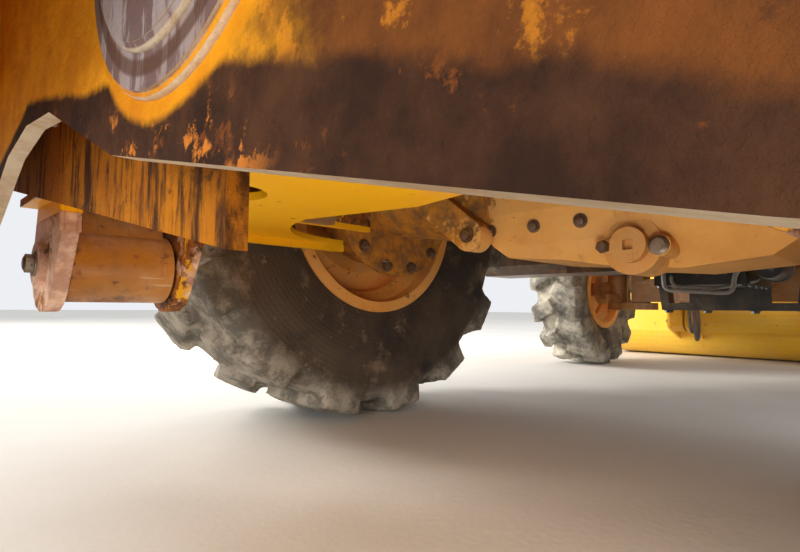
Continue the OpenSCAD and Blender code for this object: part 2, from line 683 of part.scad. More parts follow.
arm_outline = concat(
    [[1225, 1510], [1235, 1610], [1330, 1660], [1440, 1650], [1800, 1525], [2250, 1375]],
    arc([2270, 1030], 330, 75, 30, 6),
    [[2680, 960], [2850, 690], [3003, 300], [2990, 215], [2925, 195], [2862, 235], [2800, 400],
     [2700, 620], [2600, 830], [2530, 960], [2450, 1050], [2330, 1118], [2150, 1126], [2116, 1160],
     [2106, 1222], [1930, 1278], [1700, 1342], [1440, 1442], [1290, 1478]]);
module loader_arms() {
    color(yellow) {
        both_sides() difference() {
            union() {
                slab_xz(arm_y[0], arm_y[1]) polygon(arm_outline);
                rod_y(lift_eye, 52, arm_y[0] - 6, arm_y[1] + 6);
                rod_y(lever_pin, 26, 513, arm_y[0]);
                rod_y(tilt_base, 24, tilt_y - 32, arm_y[0]);
                rod_y(tilt_base, 40, arm_y[0] - 20, arm_y[0]);
            }
            rod_y(arm_pin, 35.5, arm_y[0] - 1, arm_y[1] + 1);
            rod_y(bucket_pin, 32.5, arm_y[0] - 1, arm_y[1] + 1);
            // Slot for the lift rod's eye
            box([1950, arm_y[0] + 12, 1000], [2420, arm_y[1] - 12, 1262]);
        }
        // Cross tube over the hood, and its brackets
        rod_y([1420, 1665], 45, -arm_y[1], arm_y[1]);
        both_sides() rod_y([1420, 1665], 62, arm_y[0], arm_y[1] + 6);
    }
}
lift_min = shortest(lift_base, lift_eye, arm_pin, lift_deg);
module lift_barrels() {
    color(black) for (s = [-1, 1]) along_xz(lift_base, lift_base, lift_eye, s * arm_mid_y)
        barrel_tube(42, 25, 50, 84, 30, lift_min);
}
module lift_rods() {
    color(chrome) for (s = [-1, 1]) along_xz(lift_eye, lift_base, lift_eye, s * arm_mid_y)
        rod_shaft(25, 44, 44, 50, lift_min);
}
module tilt_levers() {
    color(yellow) both_sides() difference() {
        union() {
            slab_xz(lever_y[0], lever_y[1]) {
                link2d(lever_pin, link_pin, 58, 44);
                link2d(lever_pin, tilt_eye, 58, 44);
                polygon([lever_pin, link_pin, tilt_eye]);
            }
            rod_y(link_pin, 22, link_y[0] - 6, lever_y[0]);
        }
        rod_y(lever_pin, 26.5, lever_y[0] - 1, lever_y[1] + 1);
    }
}
module tilt_links() {
    color(yellow) both_sides() difference() {
        slab_xz(link_y[0], link_y[1]) link2d(link_pin, bucket_top_pin, 42, 42);
        rod_y(link_pin, 22.5, link_y[0] - 1, link_y[1] + 1);
        rod_y(bucket_top_pin, 22.5, link_y[0] - 1, link_y[1] + 1);
    }
}
tilt_min = min([for (a = [rollback_deg, 0, -dump_deg])
    norm(turned(tilt_eye, lever_pin, a) - tilt_base)]) - 40;
module tilt_barrels() {
    color(black) for (s = [-1, 1]) along_xz(tilt_base, tilt_base, tilt_eye, s * tilt_y)
        barrel_tube(36, 20, 42, 60, 24, tilt_min);
}
module tilt_rods() {
    color(chrome) for (s = [-1, 1]) along_xz(tilt_eye, tilt_base, tilt_eye, s * tilt_y)
        rod_shaft(20, 38, 46, 42, tilt_min);
}
// Loader bucket, section from the cutting edge round the heel to the top of the back
heel_c = bucket_pin + [372, -50];
heel_r = 212;
module loader_bucket() {
    t = bucket_t;
    outer = concat([[front_reach, 8], [heel_c[0], 8]], arc(heel_c, heel_r, -90, -172, 8),
        [bucket_pin + [262, 640]]);
    inner = concat([bucket_pin + [262 + t, 640]], arc(heel_c, heel_r - t, -172, -90, 8),
        [[front_reach - 30, 8 + t], [front_reach, 14]]);
    color(yellow) difference() {
        union() {
            slab_xz(-bucket_half_w, bucket_half_w) polygon(concat(outer, inner));
            // Side plates and the top stiffener
            both_sides() slab_xz(bucket_half_w - 20, bucket_half_w)
                polygon(concat([[front_reach - 20, 12], [heel_c[0], 12]],
                    arc(heel_c, heel_r - 4, -90, -172, 8),
                    [bucket_pin + [262, 636], bucket_pin + [420, 600], bucket_pin + [760, 160]]));
            for (y = [[-bucket_half_w, -700], [-480, 480], [700, bucket_half_w]])
                slab_xz(y[0], y[1]) polygon([bucket_pin + [262, 640], bucket_pin + [252, 560],
                    bucket_pin + [196, 580], bucket_pin + [206, 640]]);
            both_sides() bucket_ears();
            // Torque tube along the back, between the arms
            slab_xz(-478, 478) polygon(concat(arc(bucket_pin + [200, 20], 118, 95, 262, 10),
                [bucket_pin + [182, -92], bucket_pin + [178, 20], bucket_pin + [198, 134]]));
        }
        for (y = edge_bolts) rod_z([front_reach - 70, y], edge_bolt_r, 0, 40);
    }
}
edge_bolt_r = 11;
edge_bolt_step = 360;
edge_bolts = [for (i = [-2.5:2.5]) i * edge_bolt_step];
module bucket_ears() {
    for (y = [[517, 537], [633, 653]])
        slab_xz(y[0], y[1]) polygon(concat(arc(bucket_pin, 62, 250, 150, 6),
            [bucket_top_pin + [-52, -10]], arc(bucket_top_pin, 52, 170, 60, 4),
            [bucket_pin + [236, 420], bucket_pin + [170, 0], bucket_pin + [200, -140]]));
    rod_y(bucket_pin, 32, 509, 661);
    rod_y(bucket_top_pin, 22, 481, 517);
}

// Digging arm

module swing_post() {
    color(dusty_yellow) {
        rod_z([swing_x, 0], 45, 540, 1050);
        rod_z([swing_x, 0], 82, 626, 974);
        box([-1560, -130, 640], [-1440, 130, 960]);
        both_sides() {
            slab_xz(boom_half_w + side_gap, boom_half_w + side_gap + 24)
                polygon([[-1440, 640], [-1440, 960], [-1590, 975], [-1590, 1048], [-1478, 1048],
                    [-1478, 1120], [-1500, 1170], [-1560, 1170], [-1720, 960], [-1790, 900],
                    [-1790, 800], [-1720, 740]]);
            rod_y(boom_base, 42, 52, boom_half_w + side_gap);
        }
        rod_y(boom_foot, 32, -boom_half_w - side_gap - 24, boom_half_w + side_gap + 24);
        rod_y(boom_base, 28, -boom_half_w - side_gap - 24, boom_half_w + side_gap + 24);
    }
}
// Boom: front edge up, rear edge down
boom_outline = concat(
    arc(boom_foot, 100, 200, 350, 6),
    [[-1600, 1100], [-1582, 1500], [-1552, 1930], [-1510, 2150], [-1510, 2500], [-1560, 2900]],
    arc(boom_tip, 96, 10, 170, 6),
    [[-1755, 2900], [-1735, 2500], [-1725, 2150], [-1740, 1800], [-1790, 1400], [-1805, 1050]]);
module boom() {
    color(yellow) {
        difference() {
            union() {
                slab_xz(-boom_half_w, boom_half_w) polygon(boom_outline);
                // Ears of the boom cylinder and the foot of the dipper cylinder
                for (y = [-78, 58]) slab_xz(y, y + 20) {
                    polygon([[-1560, 1890], boom_eye + [30, -40], boom_eye + [52, 0],
                        boom_eye + [40, 45], dipper_base + [-30, -50], dipper_base + [50, -20],
                        dipper_base + [50, 20], dipper_base + [0, 52], [-1500, 2440]]);
                }
                rod_y(dipper_base, 26, -84, 84);
            }
            rod_y(boom_foot, 32.5, -boom_half_w - 1, boom_half_w + 1);
            // Fork at the tip, and the gap at the foot that the cylinder comes down into
            slab_xz(-80, 80) translate(boom_tip) circle(r = 420, $fn = 60);
            slab_xz(-58, 58) polygon([[-1700, 690], [-1500, 690], [-1500, 1430], [-1616, 1430],
                [-1618, 1200], [-1674, 850]]);
        }
        rod_y(boom_tip, 32, -boom_half_w, boom_half_w);
    }
}
boom_min = shortest(boom_base, boom_eye, boom_foot, boom_deg);
module boom_barrel() {
    color(black) along_xz(boom_base, boom_base, boom_eye, 0)
        barrel_tube(46, 29, 50, 90, 28, boom_min);
}
module boom_rod() {
    color(chrome) along_xz(boom_eye, boom_base, boom_eye, 0)
        rod_shaft(29, 42, 104, 50, boom_min);
}
module dipper() {
    color(yellow) {
        difference() {
            union() {
                slab_xz(-74, 74) polygon([on_dipper(540, -81), on_dipper(1250, -95),
                    on_dipper(1500, -100), on_dipper(1640, -40), on_dipper(1640, 60),
                    on_dipper(1600, 150), on_dipper(1250, 130), on_dipper(540, 100),
                    on_dipper(500, 0)]);
                // Narrow end, between the plates of the link
                slab_xz(-42, 42) polygon(concat(
                    [for (p = arc([0, 0], 66, 225, 45, 8)) on_dipper(p[0], -p[1])],
                    [on_dipper(200, -70), on_dipper(700, -84), on_dipper(700, 106),
                     on_dipper(300, 88)]));
                for (s = [-1, 1]) rod_y(lever_foot, 38, s * 60 - 19, s * 60 + 19);
                // Horn of the dipper cylinder and ears of the bucket cylinder
                for (y = [-62, 44]) slab_xz(y, y + 18) {
                    polygon([on_dipper(1560, -100), horn_eye + [50, -10], horn_eye + [30, 44],
                        horn_eye + [-40, 36], on_dipper(1640, 100)]);
                    polygon(concat([on_dipper(1210, 110)],
                        [for (p = arc([1360, 250], 48, 200, 20, 5)) on_dipper(p[0], p[1])],
                        [on_dipper(1560, 100)]));
                }
                rod_y(curl_base, 22, -68, 68);
                rod_y(lever_foot, 24, -94, 94);
            }
            rod_y(boom_tip, 32.5, -75, 75);
        }
        rod_y(dipper_end, 28, -118, 118);
    }
}
dipper_min = shortest(dipper_base, horn_eye, boom_tip, -dipper_deg);
module dipper_barrel() {
    color(black) along_xz(dipper_base, dipper_base, horn_eye, 0)
        barrel_tube(42, 26, 44, 104, 26, dipper_min);
}
module dipper_rod() {
    color(chrome) along_xz(horn_eye, dipper_base, horn_eye, 0)
        rod_shaft(26, 40, 76, 44, dipper_min);
}
module bucket_lever() {
    color(yellow) for (s = [-1, 1]) difference() {
        slab_xz(s * 87 - 7, s * 87 + 7) link2d(lever_foot, lever_tip, 46, 42);
        rod_y(lever_foot, 24.5, -100, 100);
    }
}
module bucket_link() {
    color(yellow) for (s = [-1, 1]) difference() {
        slab_xz(s * 62 - 14, s * 62 + 14) link2d(lever_tip, curl_pin, 40, 42);
        rod_y(curl_pin, 20.5, -80, 80);
    }
}
// A point of the digging bucket, from the dipper's end, along the line to the curl pin and across
curl_u = [cos(curl_start), sin(curl_start)];
curl_n = [-sin(curl_start), cos(curl_start)];
function on_bucket(a, b) = dipper_end + a * curl_u + b * curl_n;
digging_outer = [on_bucket(40, 62), on_bucket(350, 74), on_bucket(460, 104), on_bucket(524, 160),
    on_bucket(552, 250), on_bucket(548, 370), on_bucket(500, 480), on_bucket(410, 575),
    on_bucket(290, 645), on_bucket(150, 690), on_bucket(10, 712)];
digging_inner = [on_bucket(12, 694), on_bucket(146, 672), on_bucket(282, 628), on_bucket(398, 561),
    on_bucket(484, 470), on_bucket(530, 366), on_bucket(535, 254), on_bucket(510, 170),
    on_bucket(452, 120), on_bucket(348, 92), on_bucket(40, 80)];
module digging_bucket() {
    color(yellow) {
        slab_xz(-dig_half_w, dig_half_w) polygon(concat(digging_outer, digging_inner));
        both_sides() slab_xz(dig_half_w - 16, dig_half_w) polygon(concat(digging_outer,
            [on_bucket(90, 540), on_bucket(80, 240)]));
        // Ears on the dipper's end and the bucket teeth
        for (s = [-1, 1]) difference() {
            slab_xz(s * 108 - 8, s * 108 + 8) union() {
                link2d(dipper_end, curl_pin, 66, 50);
                polygon([on_bucket(-40, 50), on_bucket(40, 80), on_bucket(350, 90),
                    on_bucket(300, 0), on_bucket(0, 0)]);
            }
            rod_y(dipper_end, 28.5, -130, 130);
        }
        rod_y(curl_pin, 20, -116, 116);
        for (y = [-300, -165, -30, 105, 240]) slab_xz(y, y + 60)
            polygon([on_bucket(60, 716), on_bucket(-10, 730), on_bucket(-58, 722),
                on_bucket(10, 694), on_bucket(60, 688)]);
    }
}
open_tip = meet(lever_foot, lever_len, turned(curl_pin, dipper_end, -curl_deg), link_len,
    dip_n - dip_u);
curl_min = min(norm(lever_tip - curl_base), norm(open_tip - curl_base));
module bucket_barrel() {
    color(black) along_xz(curl_base, curl_base, lever_tip, 0)
        barrel_tube(38, 23, 40, 76, 22, curl_min);
}
module bucket_rod() {
    color(chrome) along_xz(lever_tip, curl_base, lever_tip, 0)
        rod_shaft(23, 36, 80, 40, curl_min);
}

// Stabilizers, at the left side

foot_y = leg_pin[0] + leg_len * sin(leg_tilt + leg_deg);
// Pad and its gusset as they stand on the ground, with the leg down
pad_outline = [
    [foot_y - 176, 40], [foot_y - 150, 6], [foot_y + 150, 6], [foot_y + 176, 40],
    [foot_y + 162, 52], [foot_y + 136, 30], [foot_y - 136, 30], [foot_y - 162, 52]
];
gusset_outline = [
    [foot_y - 115, 26], [foot_y + 115, 26], [foot_y + 30, 108], [foot_y - 60, 112]
];
module leg() {
    color(dusty_yellow) difference() {
        union() {
            rod_x(leg_pin, 69, leg_x[0], leg_x[1]);
            slab_yz(leg_x[0] + 10, leg_x[1] - 10) polygon([on_leg(0, 56), on_leg(130, 62),
                on_leg(leg_len - 20, 44), on_leg(leg_len - 20, -44), on_leg(130, -62),
                on_leg(0, -56)]);
            for (x = [leg_mid_x - 74, leg_mid_x + 54]) slab_yz(x, x + 20)
                polygon(concat([on_leg(130, 40)],
                    [for (p = arc([330, 162], 46, 180, 0, 6)) on_leg(p[0], p[1])],
                    [on_leg(540, 40)]));
            // Pad with its upturned ends, and the gussets that hold it to the leg
            slab_yz(leg_mid_x - 138, leg_mid_x + 138)
                polygon([for (p = pad_outline) turned(p, leg_pin, leg_deg)]);
            for (x = [leg_x[0] - 10, leg_x[1] - 10]) slab_yz(x, x + 20)
                polygon([for (p = gusset_outline) turned(p, leg_pin, leg_deg)]);
        }
        rod_x(leg_pin, 40.5, leg_x[0] - 1, leg_x[1] + 1);
    }
}
leg_min = shortest(leg_base, leg_eye, leg_pin, -leg_deg);
module leg_barrel(s) {
    color(black) along_yz(leg_side(s, leg_base), leg_side(s, leg_base), leg_side(s, leg_eye), leg_mid_x)
        barrel_tube(40, 24, 42, 80, 25, leg_min);
}
module leg_rod(s) {
    color(chrome) along_yz(leg_side(s, leg_eye), leg_side(s, leg_base), leg_side(s, leg_eye), leg_mid_x)
        rod_shaft(24, 38, 96, 42, leg_min);
}

// Wheels, at the left side, with the hub's axis along Y through the local origin

// Tyre: a revolved hollow carcass on the rim's bead seats, and bars over its shoulders
flange_t = 9;
flange_h = 24;
module tyre(r, w, rim_r, rim_w, lugs, slant) {
    c = r - lug_h;
    h = w / 2;
    mid = (rim_r + c) / 2;
    seat = rim_r - flange_h + pin_gap;
    bead_y = rim_w / 2 - flange_t;
    outside = [[seat, bead_y - 36], [seat, bead_y], [rim_r + 4, bead_y], [rim_r + 22, bead_y + 12],
        [mid, h], [c - 60, h - 12], [c - 14, h - 42], [c, h - 90]];
    inside = [[c - 30, h - 100], [c - 50, h - 66], [mid, h - 24], [rim_r + 26, bead_y - 26]];
    color(rubber) {
        rotate([-90, 0, 0]) rotate_extrude($fn = 60) polygon(concat(outside, mirrored(outside),
            mirrored(inside), inside));
        intersection() {
            for (s = [0, 1]) mirror([0, s, 0]) for (i = [0:lugs - 1])
                rotate([0, 360 * (i + s / 2) / lugs, 0]) lug(r, c, h, lugs, slant);
            rotate([90, 0, 0]) cylinder(r = r, h = w, center = true, $fn = 120);
        }
    }
}
module lug(r, c, h, lugs, slant) {
    w = 2 * PI * r / lugs * 0.42;
    reach = h * 0.86;
    translate([0, 4, 0]) rotate([0, 0, slant]) rotate([90, 0, 90]) translate([0, 0, -w / 2])
        linear_extrude(w) polygon([[0, c - 14], [h * 0.8, c - 30], [h * 0.86, c - 70],
            [h * 0.9, r - 60], [h * 0.88, r - 6], [h * 0.6, r + 10], [0, r + 10]]);
    // Round end, square to the side wall
    rotate([0, -atan(reach * tan(slant) / r), 0]) slab_xz(h * 0.62, h * 0.985) {
        translate([0, c - 58]) circle(r = w * 0.6);
        translate([-w * 0.6, c - 58]) square([w * 1.2, lug_h + 52]);
    }
}
// Rim: flanges, bead seats and drop centre, and the dished disc with its hub
module rim(r, w, disc_y, hub_r) {
    h = w / 2;
    seat = r - flange_h;
    well = r - 58;
    side = [[seat, h - flange_t - 44], [seat, h - flange_t], [r, h - flange_t], [r, h],
        [seat - 10, h], [seat - 12, h - flange_t - 40]];
    color(yellow) rotate([-90, 0, 0]) rotate_extrude($fn = 60) polygon(concat(
        [[well, h - flange_t - 84]], side, [[well - 12, h - flange_t - 86], [well - 12, disc_y + 8],
         [r * 0.62, disc_y - 26], [r * 0.36, disc_y + 8], [hub_r, disc_y + 8],
         [hub_r, disc_y - 14], [r * 0.36, disc_y - 14], [r * 0.62, disc_y - 46],
         [well - 12, disc_y - 14], [well - 12, -h + flange_t + 86]],
        mirrored(side), [[well, -h + flange_t + 84]]));
}
module at_rear_wheel() { translate([0, rear_wheel_y, rear_hub_z]) children(); }
module at_front_wheel() { translate([wheelbase, front_wheel_y, front_hub_z]) children(); }
module rear_tyre() { at_rear_wheel() tyre(rear_tyre_r, rear_tyre_w, rim_rear_r, 400, rear_lugs, 28); }
module front_tyre() { at_front_wheel() tyre(front_tyre_r, front_tyre_w, rim_front_r, 260, front_lugs, 26); }
module rear_rim() { at_rear_wheel() rim(rim_rear_r, 400, -40, stub_r + 1); }
module front_rim() { at_front_wheel() rim(rim_front_r, 260, 20, 43); }

placed() main_frame();
placed() rear_frame();
placed() rear_axle();
placed() front_axle();
placed() powertrain();
placed() hood();
placed() grille();
placed() exhaust();
placed() side_tanks();
placed() fenders();
placed() cab_frame();
placed() cab_roof();
placed() cab_glass();
placed() seat();
placed() controls();
placed() lamps();
placed() mirrors();
placed() door();  // door_left
placed() mirror([0, 1, 0]) door();  // door_right
placed() door_glass();  // door_glass_left
placed() mirror([0, 1, 0]) door_glass();  // door_glass_right
placed() loader_arms();
placed() lift_barrels();
placed() lift_rods();
placed() tilt_levers();
placed() tilt_links();
placed() tilt_barrels();
placed() tilt_rods();
placed() loader_bucket();
placed() swing_post();
placed() boom();
placed() dipper();
placed() digging_bucket();
placed() bucket_lever();
placed() bucket_link();
placed() boom_barrel();
placed() boom_rod();
placed() dipper_barrel();
placed() dipper_rod();
placed() bucket_barrel();
placed() bucket_rod();
placed() leg();  // leg_left
placed() leg_barrel(1);  // leg_barrel_left
placed() leg_rod(1);  // leg_rod_left
placed() translate([0, -right_leg_out, 0]) mirror([0, 1, 0]) leg();  // leg_right
placed() leg_barrel(-1);  // leg_barrel_right
placed() leg_rod(-1);  // leg_rod_right
placed() knuckle();  // knuckle_left
placed() mirror([0, 1, 0]) knuckle();  // knuckle_right
placed() rear_tyre();  // tyre_rear_left
placed() mirror([0, 1, 0]) rear_tyre();  // tyre_rear_right
placed() front_tyre();  // tyre_front_left
placed() mirror([0, 1, 0]) front_tyre();  // tyre_front_right
placed() rear_rim();  // rim_rear_left
placed() mirror([0, 1, 0]) rear_rim();  // rim_rear_right
placed() front_rim();  // rim_front_left
placed() mirror([0, 1, 0]) front_rim();  // rim_front_right
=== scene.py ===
# Backhoe loader seen from the ground behind its left rear wheel: paint, rust, rubber, glass and
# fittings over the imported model. Metres, +X forward, +Y left, +Z up. The model's origin is the middle
# of its footprint, and a point given as at(x, y, z) measures x from the rear axle.
import math

import bmesh
import bpy
from mathutils import Matrix, Vector, noise


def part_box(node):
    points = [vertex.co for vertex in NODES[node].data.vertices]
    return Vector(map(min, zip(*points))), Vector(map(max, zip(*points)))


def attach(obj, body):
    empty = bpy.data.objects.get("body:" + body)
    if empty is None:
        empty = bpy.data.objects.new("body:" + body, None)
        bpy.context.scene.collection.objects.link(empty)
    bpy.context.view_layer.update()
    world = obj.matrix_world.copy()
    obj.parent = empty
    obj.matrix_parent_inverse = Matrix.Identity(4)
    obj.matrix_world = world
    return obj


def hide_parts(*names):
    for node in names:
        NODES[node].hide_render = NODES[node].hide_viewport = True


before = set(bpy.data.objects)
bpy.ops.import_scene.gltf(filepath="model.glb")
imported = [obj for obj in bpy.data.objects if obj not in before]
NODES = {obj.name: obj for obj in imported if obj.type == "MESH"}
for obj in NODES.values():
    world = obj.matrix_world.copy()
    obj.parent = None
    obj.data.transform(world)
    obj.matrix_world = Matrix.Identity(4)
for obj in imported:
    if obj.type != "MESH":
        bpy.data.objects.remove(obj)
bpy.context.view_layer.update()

# Place of the rear axle in the model, read from the rear wheel, and the camera measured from it
REAR_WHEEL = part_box("tyre_rear_left")
AXLE_X = (REAR_WHEEL[0][0] + REAR_WHEEL[1][0]) / 2
PHOTO_WIDTH = 800
SENSOR_MM = 36.0
FOCAL_PX = 520.0
CAMERA_FROM_AXLE = (-1.186, -0.636, 0.351)
CAMERA_LEFT_OF_FORWARD = 44.75
CAMERA_UP = 3.47
CAMERA_ROLL = 0.49

# Sides and directions
SIDES = (1, -1)
NAMED_SIDES = ((1, "left"), (-1, "right"))
UP = (0, 0, 1)
DOWN = (0, 0, -1)

# Height of the rear hubs, (x, z) of the front ones, and (y, z) of the rear axle's filler boss
HUB_Z = 0.69
FRONT_HUB = (2.17, 0.48)
FILLER = (-0.263, 0.47)

# Rear frame, from the back: the seam between the arched plate and the plate in front of it, the plane
# where the pivots and the belly plate begin, the front of the pivots' rear ears, and the disc's middle
PLATE_SEAM = -1.061
FRAME_BACK = -1.0
EAR_FRONT = -0.943
DISC_Y = 0.375
DISC_Z = 0.590

# Low edge of the arched plate: its height at this distance from the middle, and how it falls outwards
ARCH_EDGE_Y = 0.28
ARCH_EDGE_Z = 0.445
ARCH_SLOPE = 0.2324

# Heights between which the belly plate lies, and below which the pivots do
BELLY_Z = (0.51, 0.56)
PIVOT_TOP = 0.80

# The stabilizers' pins
LEG_PIN_Y = (0.5, -0.7)
LEG_TOP_Y = (0.25, -0.45)
LEG_X = -0.850

# Foot of the beacon, and the middle of the exhaust
BEACON = (-0.30, 0.30, 2.90)
EXHAUST_X = 1.9
EXHAUST_Y = -0.2


def at(x, y, z):
    return Vector((x + AXLE_X, y, z))


# Camera

def make_camera():
    camera = bpy.data.cameras.new("camera")
    camera.sensor_width = SENSOR_MM
    camera.lens = FOCAL_PX / PHOTO_WIDTH * SENSOR_MM
    camera.clip_start = 0.01
    camera.clip_end = 200
    holder = bpy.data.objects.new("camera", camera)
    holder.location = at(*CAMERA_FROM_AXLE)
    turn = Matrix.Rotation(math.radians(CAMERA_LEFT_OF_FORWARD - 90), 4, "Z")
    tip = Matrix.Rotation(math.radians(90 + CAMERA_UP), 4, "X")
    roll = Matrix.Rotation(math.radians(CAMERA_ROLL), 4, "Z")
    holder.rotation_euler = (turn @ tip @ roll).to_euler()
    bpy.context.scene.collection.objects.link(holder)
    bpy.context.scene.camera = holder


make_camera()


# Node trees written as expressions

class Value:
    """A socket of a node tree that can be written into an expression."""

    def __init__(self, graph, socket):
        self.graph = graph
        self.socket = socket

    def _maths(self, operation, *others):
        return self.graph.node("ShaderNodeMath", {"operation": operation}, *others)

    def __add__(self, other):
        return self._maths("ADD", self, other)

    def __radd__(self, other):
        return self._maths("ADD", other, self)

    def __sub__(self, other):
        return self._maths("SUBTRACT", self, other)

    def __rsub__(self, other):
        return self._maths("SUBTRACT", other, self)

    def __mul__(self, other):
        return self._maths("MULTIPLY", self, other)

    def __rmul__(self, other):
        return self._maths("MULTIPLY", other, self)

    def __neg__(self):
        return self._maths("MULTIPLY", self, -1.0)

    def __abs__(self):
        return self._maths("ABSOLUTE", self)

    def sine(self):
        return self._maths("SINE", self)

    def root(self):
        return self._maths("SQRT", self)

    def above(self, low, high):
        """0 below low, 1 above high, smooth between."""
        settings = {"interpolation_type": "SMOOTHSTEP"}
        return self.graph.node("ShaderNodeMapRange", settings, self, low, high, 0.0, 1.0)

    def below(self, low, high):
        return 1 - self.above(low, high)

    def larger(self, other):
        return self._maths("MAXIMUM", self, other)


class Graph:
    """A node tree and the one method that adds a node: its type, its settings and its sockets' values."""

    def __init__(self, tree):
        self.tree = tree

    def node(self, kind, settings, *inputs, output=0, **named):
        made = self.tree.nodes.new(kind)
        for key, value in settings.items():
            setattr(made, key, value)
        free = [socket for socket in made.inputs if socket.enabled]
        pairs = list(zip(free, inputs))
        pairs += [(made.inputs[key.replace("_", " ")], value) for key, value in named.items()]
        for socket, value in pairs:
            self.feed(socket, value)
        if isinstance(output, str):
            return Value(self, made.outputs[output])
        shown = [socket for socket in made.outputs if socket.enabled]
        return Value(self, shown[output]) if shown else None

    def feed(self, socket, value):
        if isinstance(value, list):
            for each in value:
                self.feed(socket, each)
        elif isinstance(value, Value):
            self.tree.links.new(value.socket, socket)
        else:
            socket.default_value = value


class Shader(Graph):
    """Builds one material on Object coordinates, ending in the Principled shader."""

    def __init__(self, name):
        self.material = bpy.data.materials.new(name)
        self.material.use_nodes = True
        super().__init__(self.material.node_tree)
        self.principled = self.tree.nodes["Principled BSDF"]
        self.place = self.node("ShaderNodeTexCoord", {}, output="Object")
        normal = self.node("ShaderNodeNewGeometry", {}, output="Normal")
        self.x, self.y, self.z = (self.part_of(self.place, letter) for letter in "XYZ")
        self.up = self.part_of(normal, "Z")

    def distance(self, first, second):
        """The distance from a middle, from how far off it lies along two axes."""
        return (first * first + second * second).root()

    def part_of(self, vector, letter):
        return self.node("ShaderNodeSeparateXYZ", {}, vector, output=letter)

    def placed(self, stretch, seed):
        return self.node("ShaderNodeMapping", {}, self.place, seed, (0, 0, 0), stretch)

    def noise(self, scale, detail=4.0, roughness=0.55, stretch=(1, 1, 1), seed=(0, 0, 0)):
        return self.node("ShaderNodeTexNoise", {}, Vector=self.placed(stretch, seed), Scale=scale,
                         Detail=detail, Roughness=roughness, output="Fac")

    def cells(self, scale, feature="F1", stretch=(1, 1, 1)):
        return self.node("ShaderNodeTexVoronoi", {"feature": feature}, Scale=scale, output="Distance",
                         Vector=self.placed(stretch, (0, 0, 0)))

    def mix(self, mask, low, high):
        return self.node("ShaderNodeMix", {"data_type": "RGBA"}, mask, low, high)

    def mottled(self, scale, first, second, low=0.35, high=0.65, seed=(0, 0, 0), detail=8.0):
        return self.mix(self.noise(scale, detail, 0.66, seed=seed).above(low, high), first, second)

    def finish(self, color, roughness, bump=None, bump_height=0.002, metallic=None, **plain):
        self.feed(self.principled.inputs["Base Color"], color)
        self.feed(self.principled.inputs["Roughness"], roughness)
        if metallic is not None:
            self.feed(self.principled.inputs["Metallic"], metallic)
        if bump is not None:
            raised = self.node("ShaderNodeBump", {}, Strength=1.0, Distance=bump_height, Height=bump)
            self.feed(self.principled.inputs["Normal"], raised)
        for key, value in plain.items():
            self.principled.inputs[key.replace("_", " ")].default_value = value
        return self.material


def rgb(red, green, blue):
    """A linear colour from the 0 to 255 values that it shows as."""
    return tuple(((c / 255 + 0.055) / 1.055) ** 2.4 if c > 10 else c / 255 / 12.92
                 for c in (red, green, blue)) + (1.0,)


# Colours of the paint, rust, dust and rubber

CLEAN_YELLOW = rgb(238, 172, 34)
# The loader yellow brightened for the bucket: painted sunlight
PAINTED_SUNLIGHT_YELLOW = rgb(252, 202, 60)
DEEP_YELLOW = rgb(206, 130, 16)
FADED_YELLOW = rgb(230, 184, 104)
DUST = rgb(196, 166, 128)
PALE_DUST = rgb(224, 206, 178)
TAN = rgb(240, 178, 96)
TAN_SHADE = rgb(212, 142, 70)
RUST_ORANGE = rgb(176, 100, 42)
RUST_BROWN = rgb(100, 64, 40)
SOOT = rgb(30, 27, 25)


# Finishes

def worn_paint(name, paint, shade, wear, dust, rust_low=0.6, runs=0.0):
    """Paint with chips down to rust, streaks that ran down, scratches, and road dust that lies on it."""
    s = Shader(name)
    tone = s.mottled(1.7, paint, shade, 0.38, 0.78)
    tone = s.mix(s.noise(9.0, 8, 0.7).above(0.52, 0.75) * 0.4, tone, FADED_YELLOW)
    patches = s.noise(3.2, 10, 0.68).above(rust_low, rust_low + 0.05)
    chips = s.noise(30.0, 5, 0.6, seed=(3, 8, 1)).above(0.70 - 0.07 * wear, 0.72 - 0.07 * wear)
    streaks = s.noise(9.0, 5, 0.6, stretch=(4, 4, 0.3)).above(0.55, 0.70) * runs
    rusty = patches.larger(chips).larger(streaks * 0.8) * wear
    tone = s.mix(rusty, tone, s.mottled(16.0, RUST_ORANGE, RUST_BROWN))
    scratch = s.noise(5.0, 3, 0.5, stretch=(1, 1, 22), seed=(0, 2, 6)).above(0.665, 0.69)
    tone = s.mix(scratch * 0.35, tone, PALE_DUST)
    lying = (s.noise(2.1, 7, 0.62).above(0.38, 0.7) * 0.55 + s.up.above(0.2, 0.9) * 0.5) * dust
    tone = s.mix(lying, tone, s.mottled(34.0, DUST, PALE_DUST))
    relief = s.noise(55.0, 4, 0.6) * 0.3 + rusty * s.noise(120.0, 6, 0.7) * 0.8 - chips * 0.5
    return s.finish(tone, 0.38 + rusty * 0.4 + lying * 0.3, relief, 0.0012)


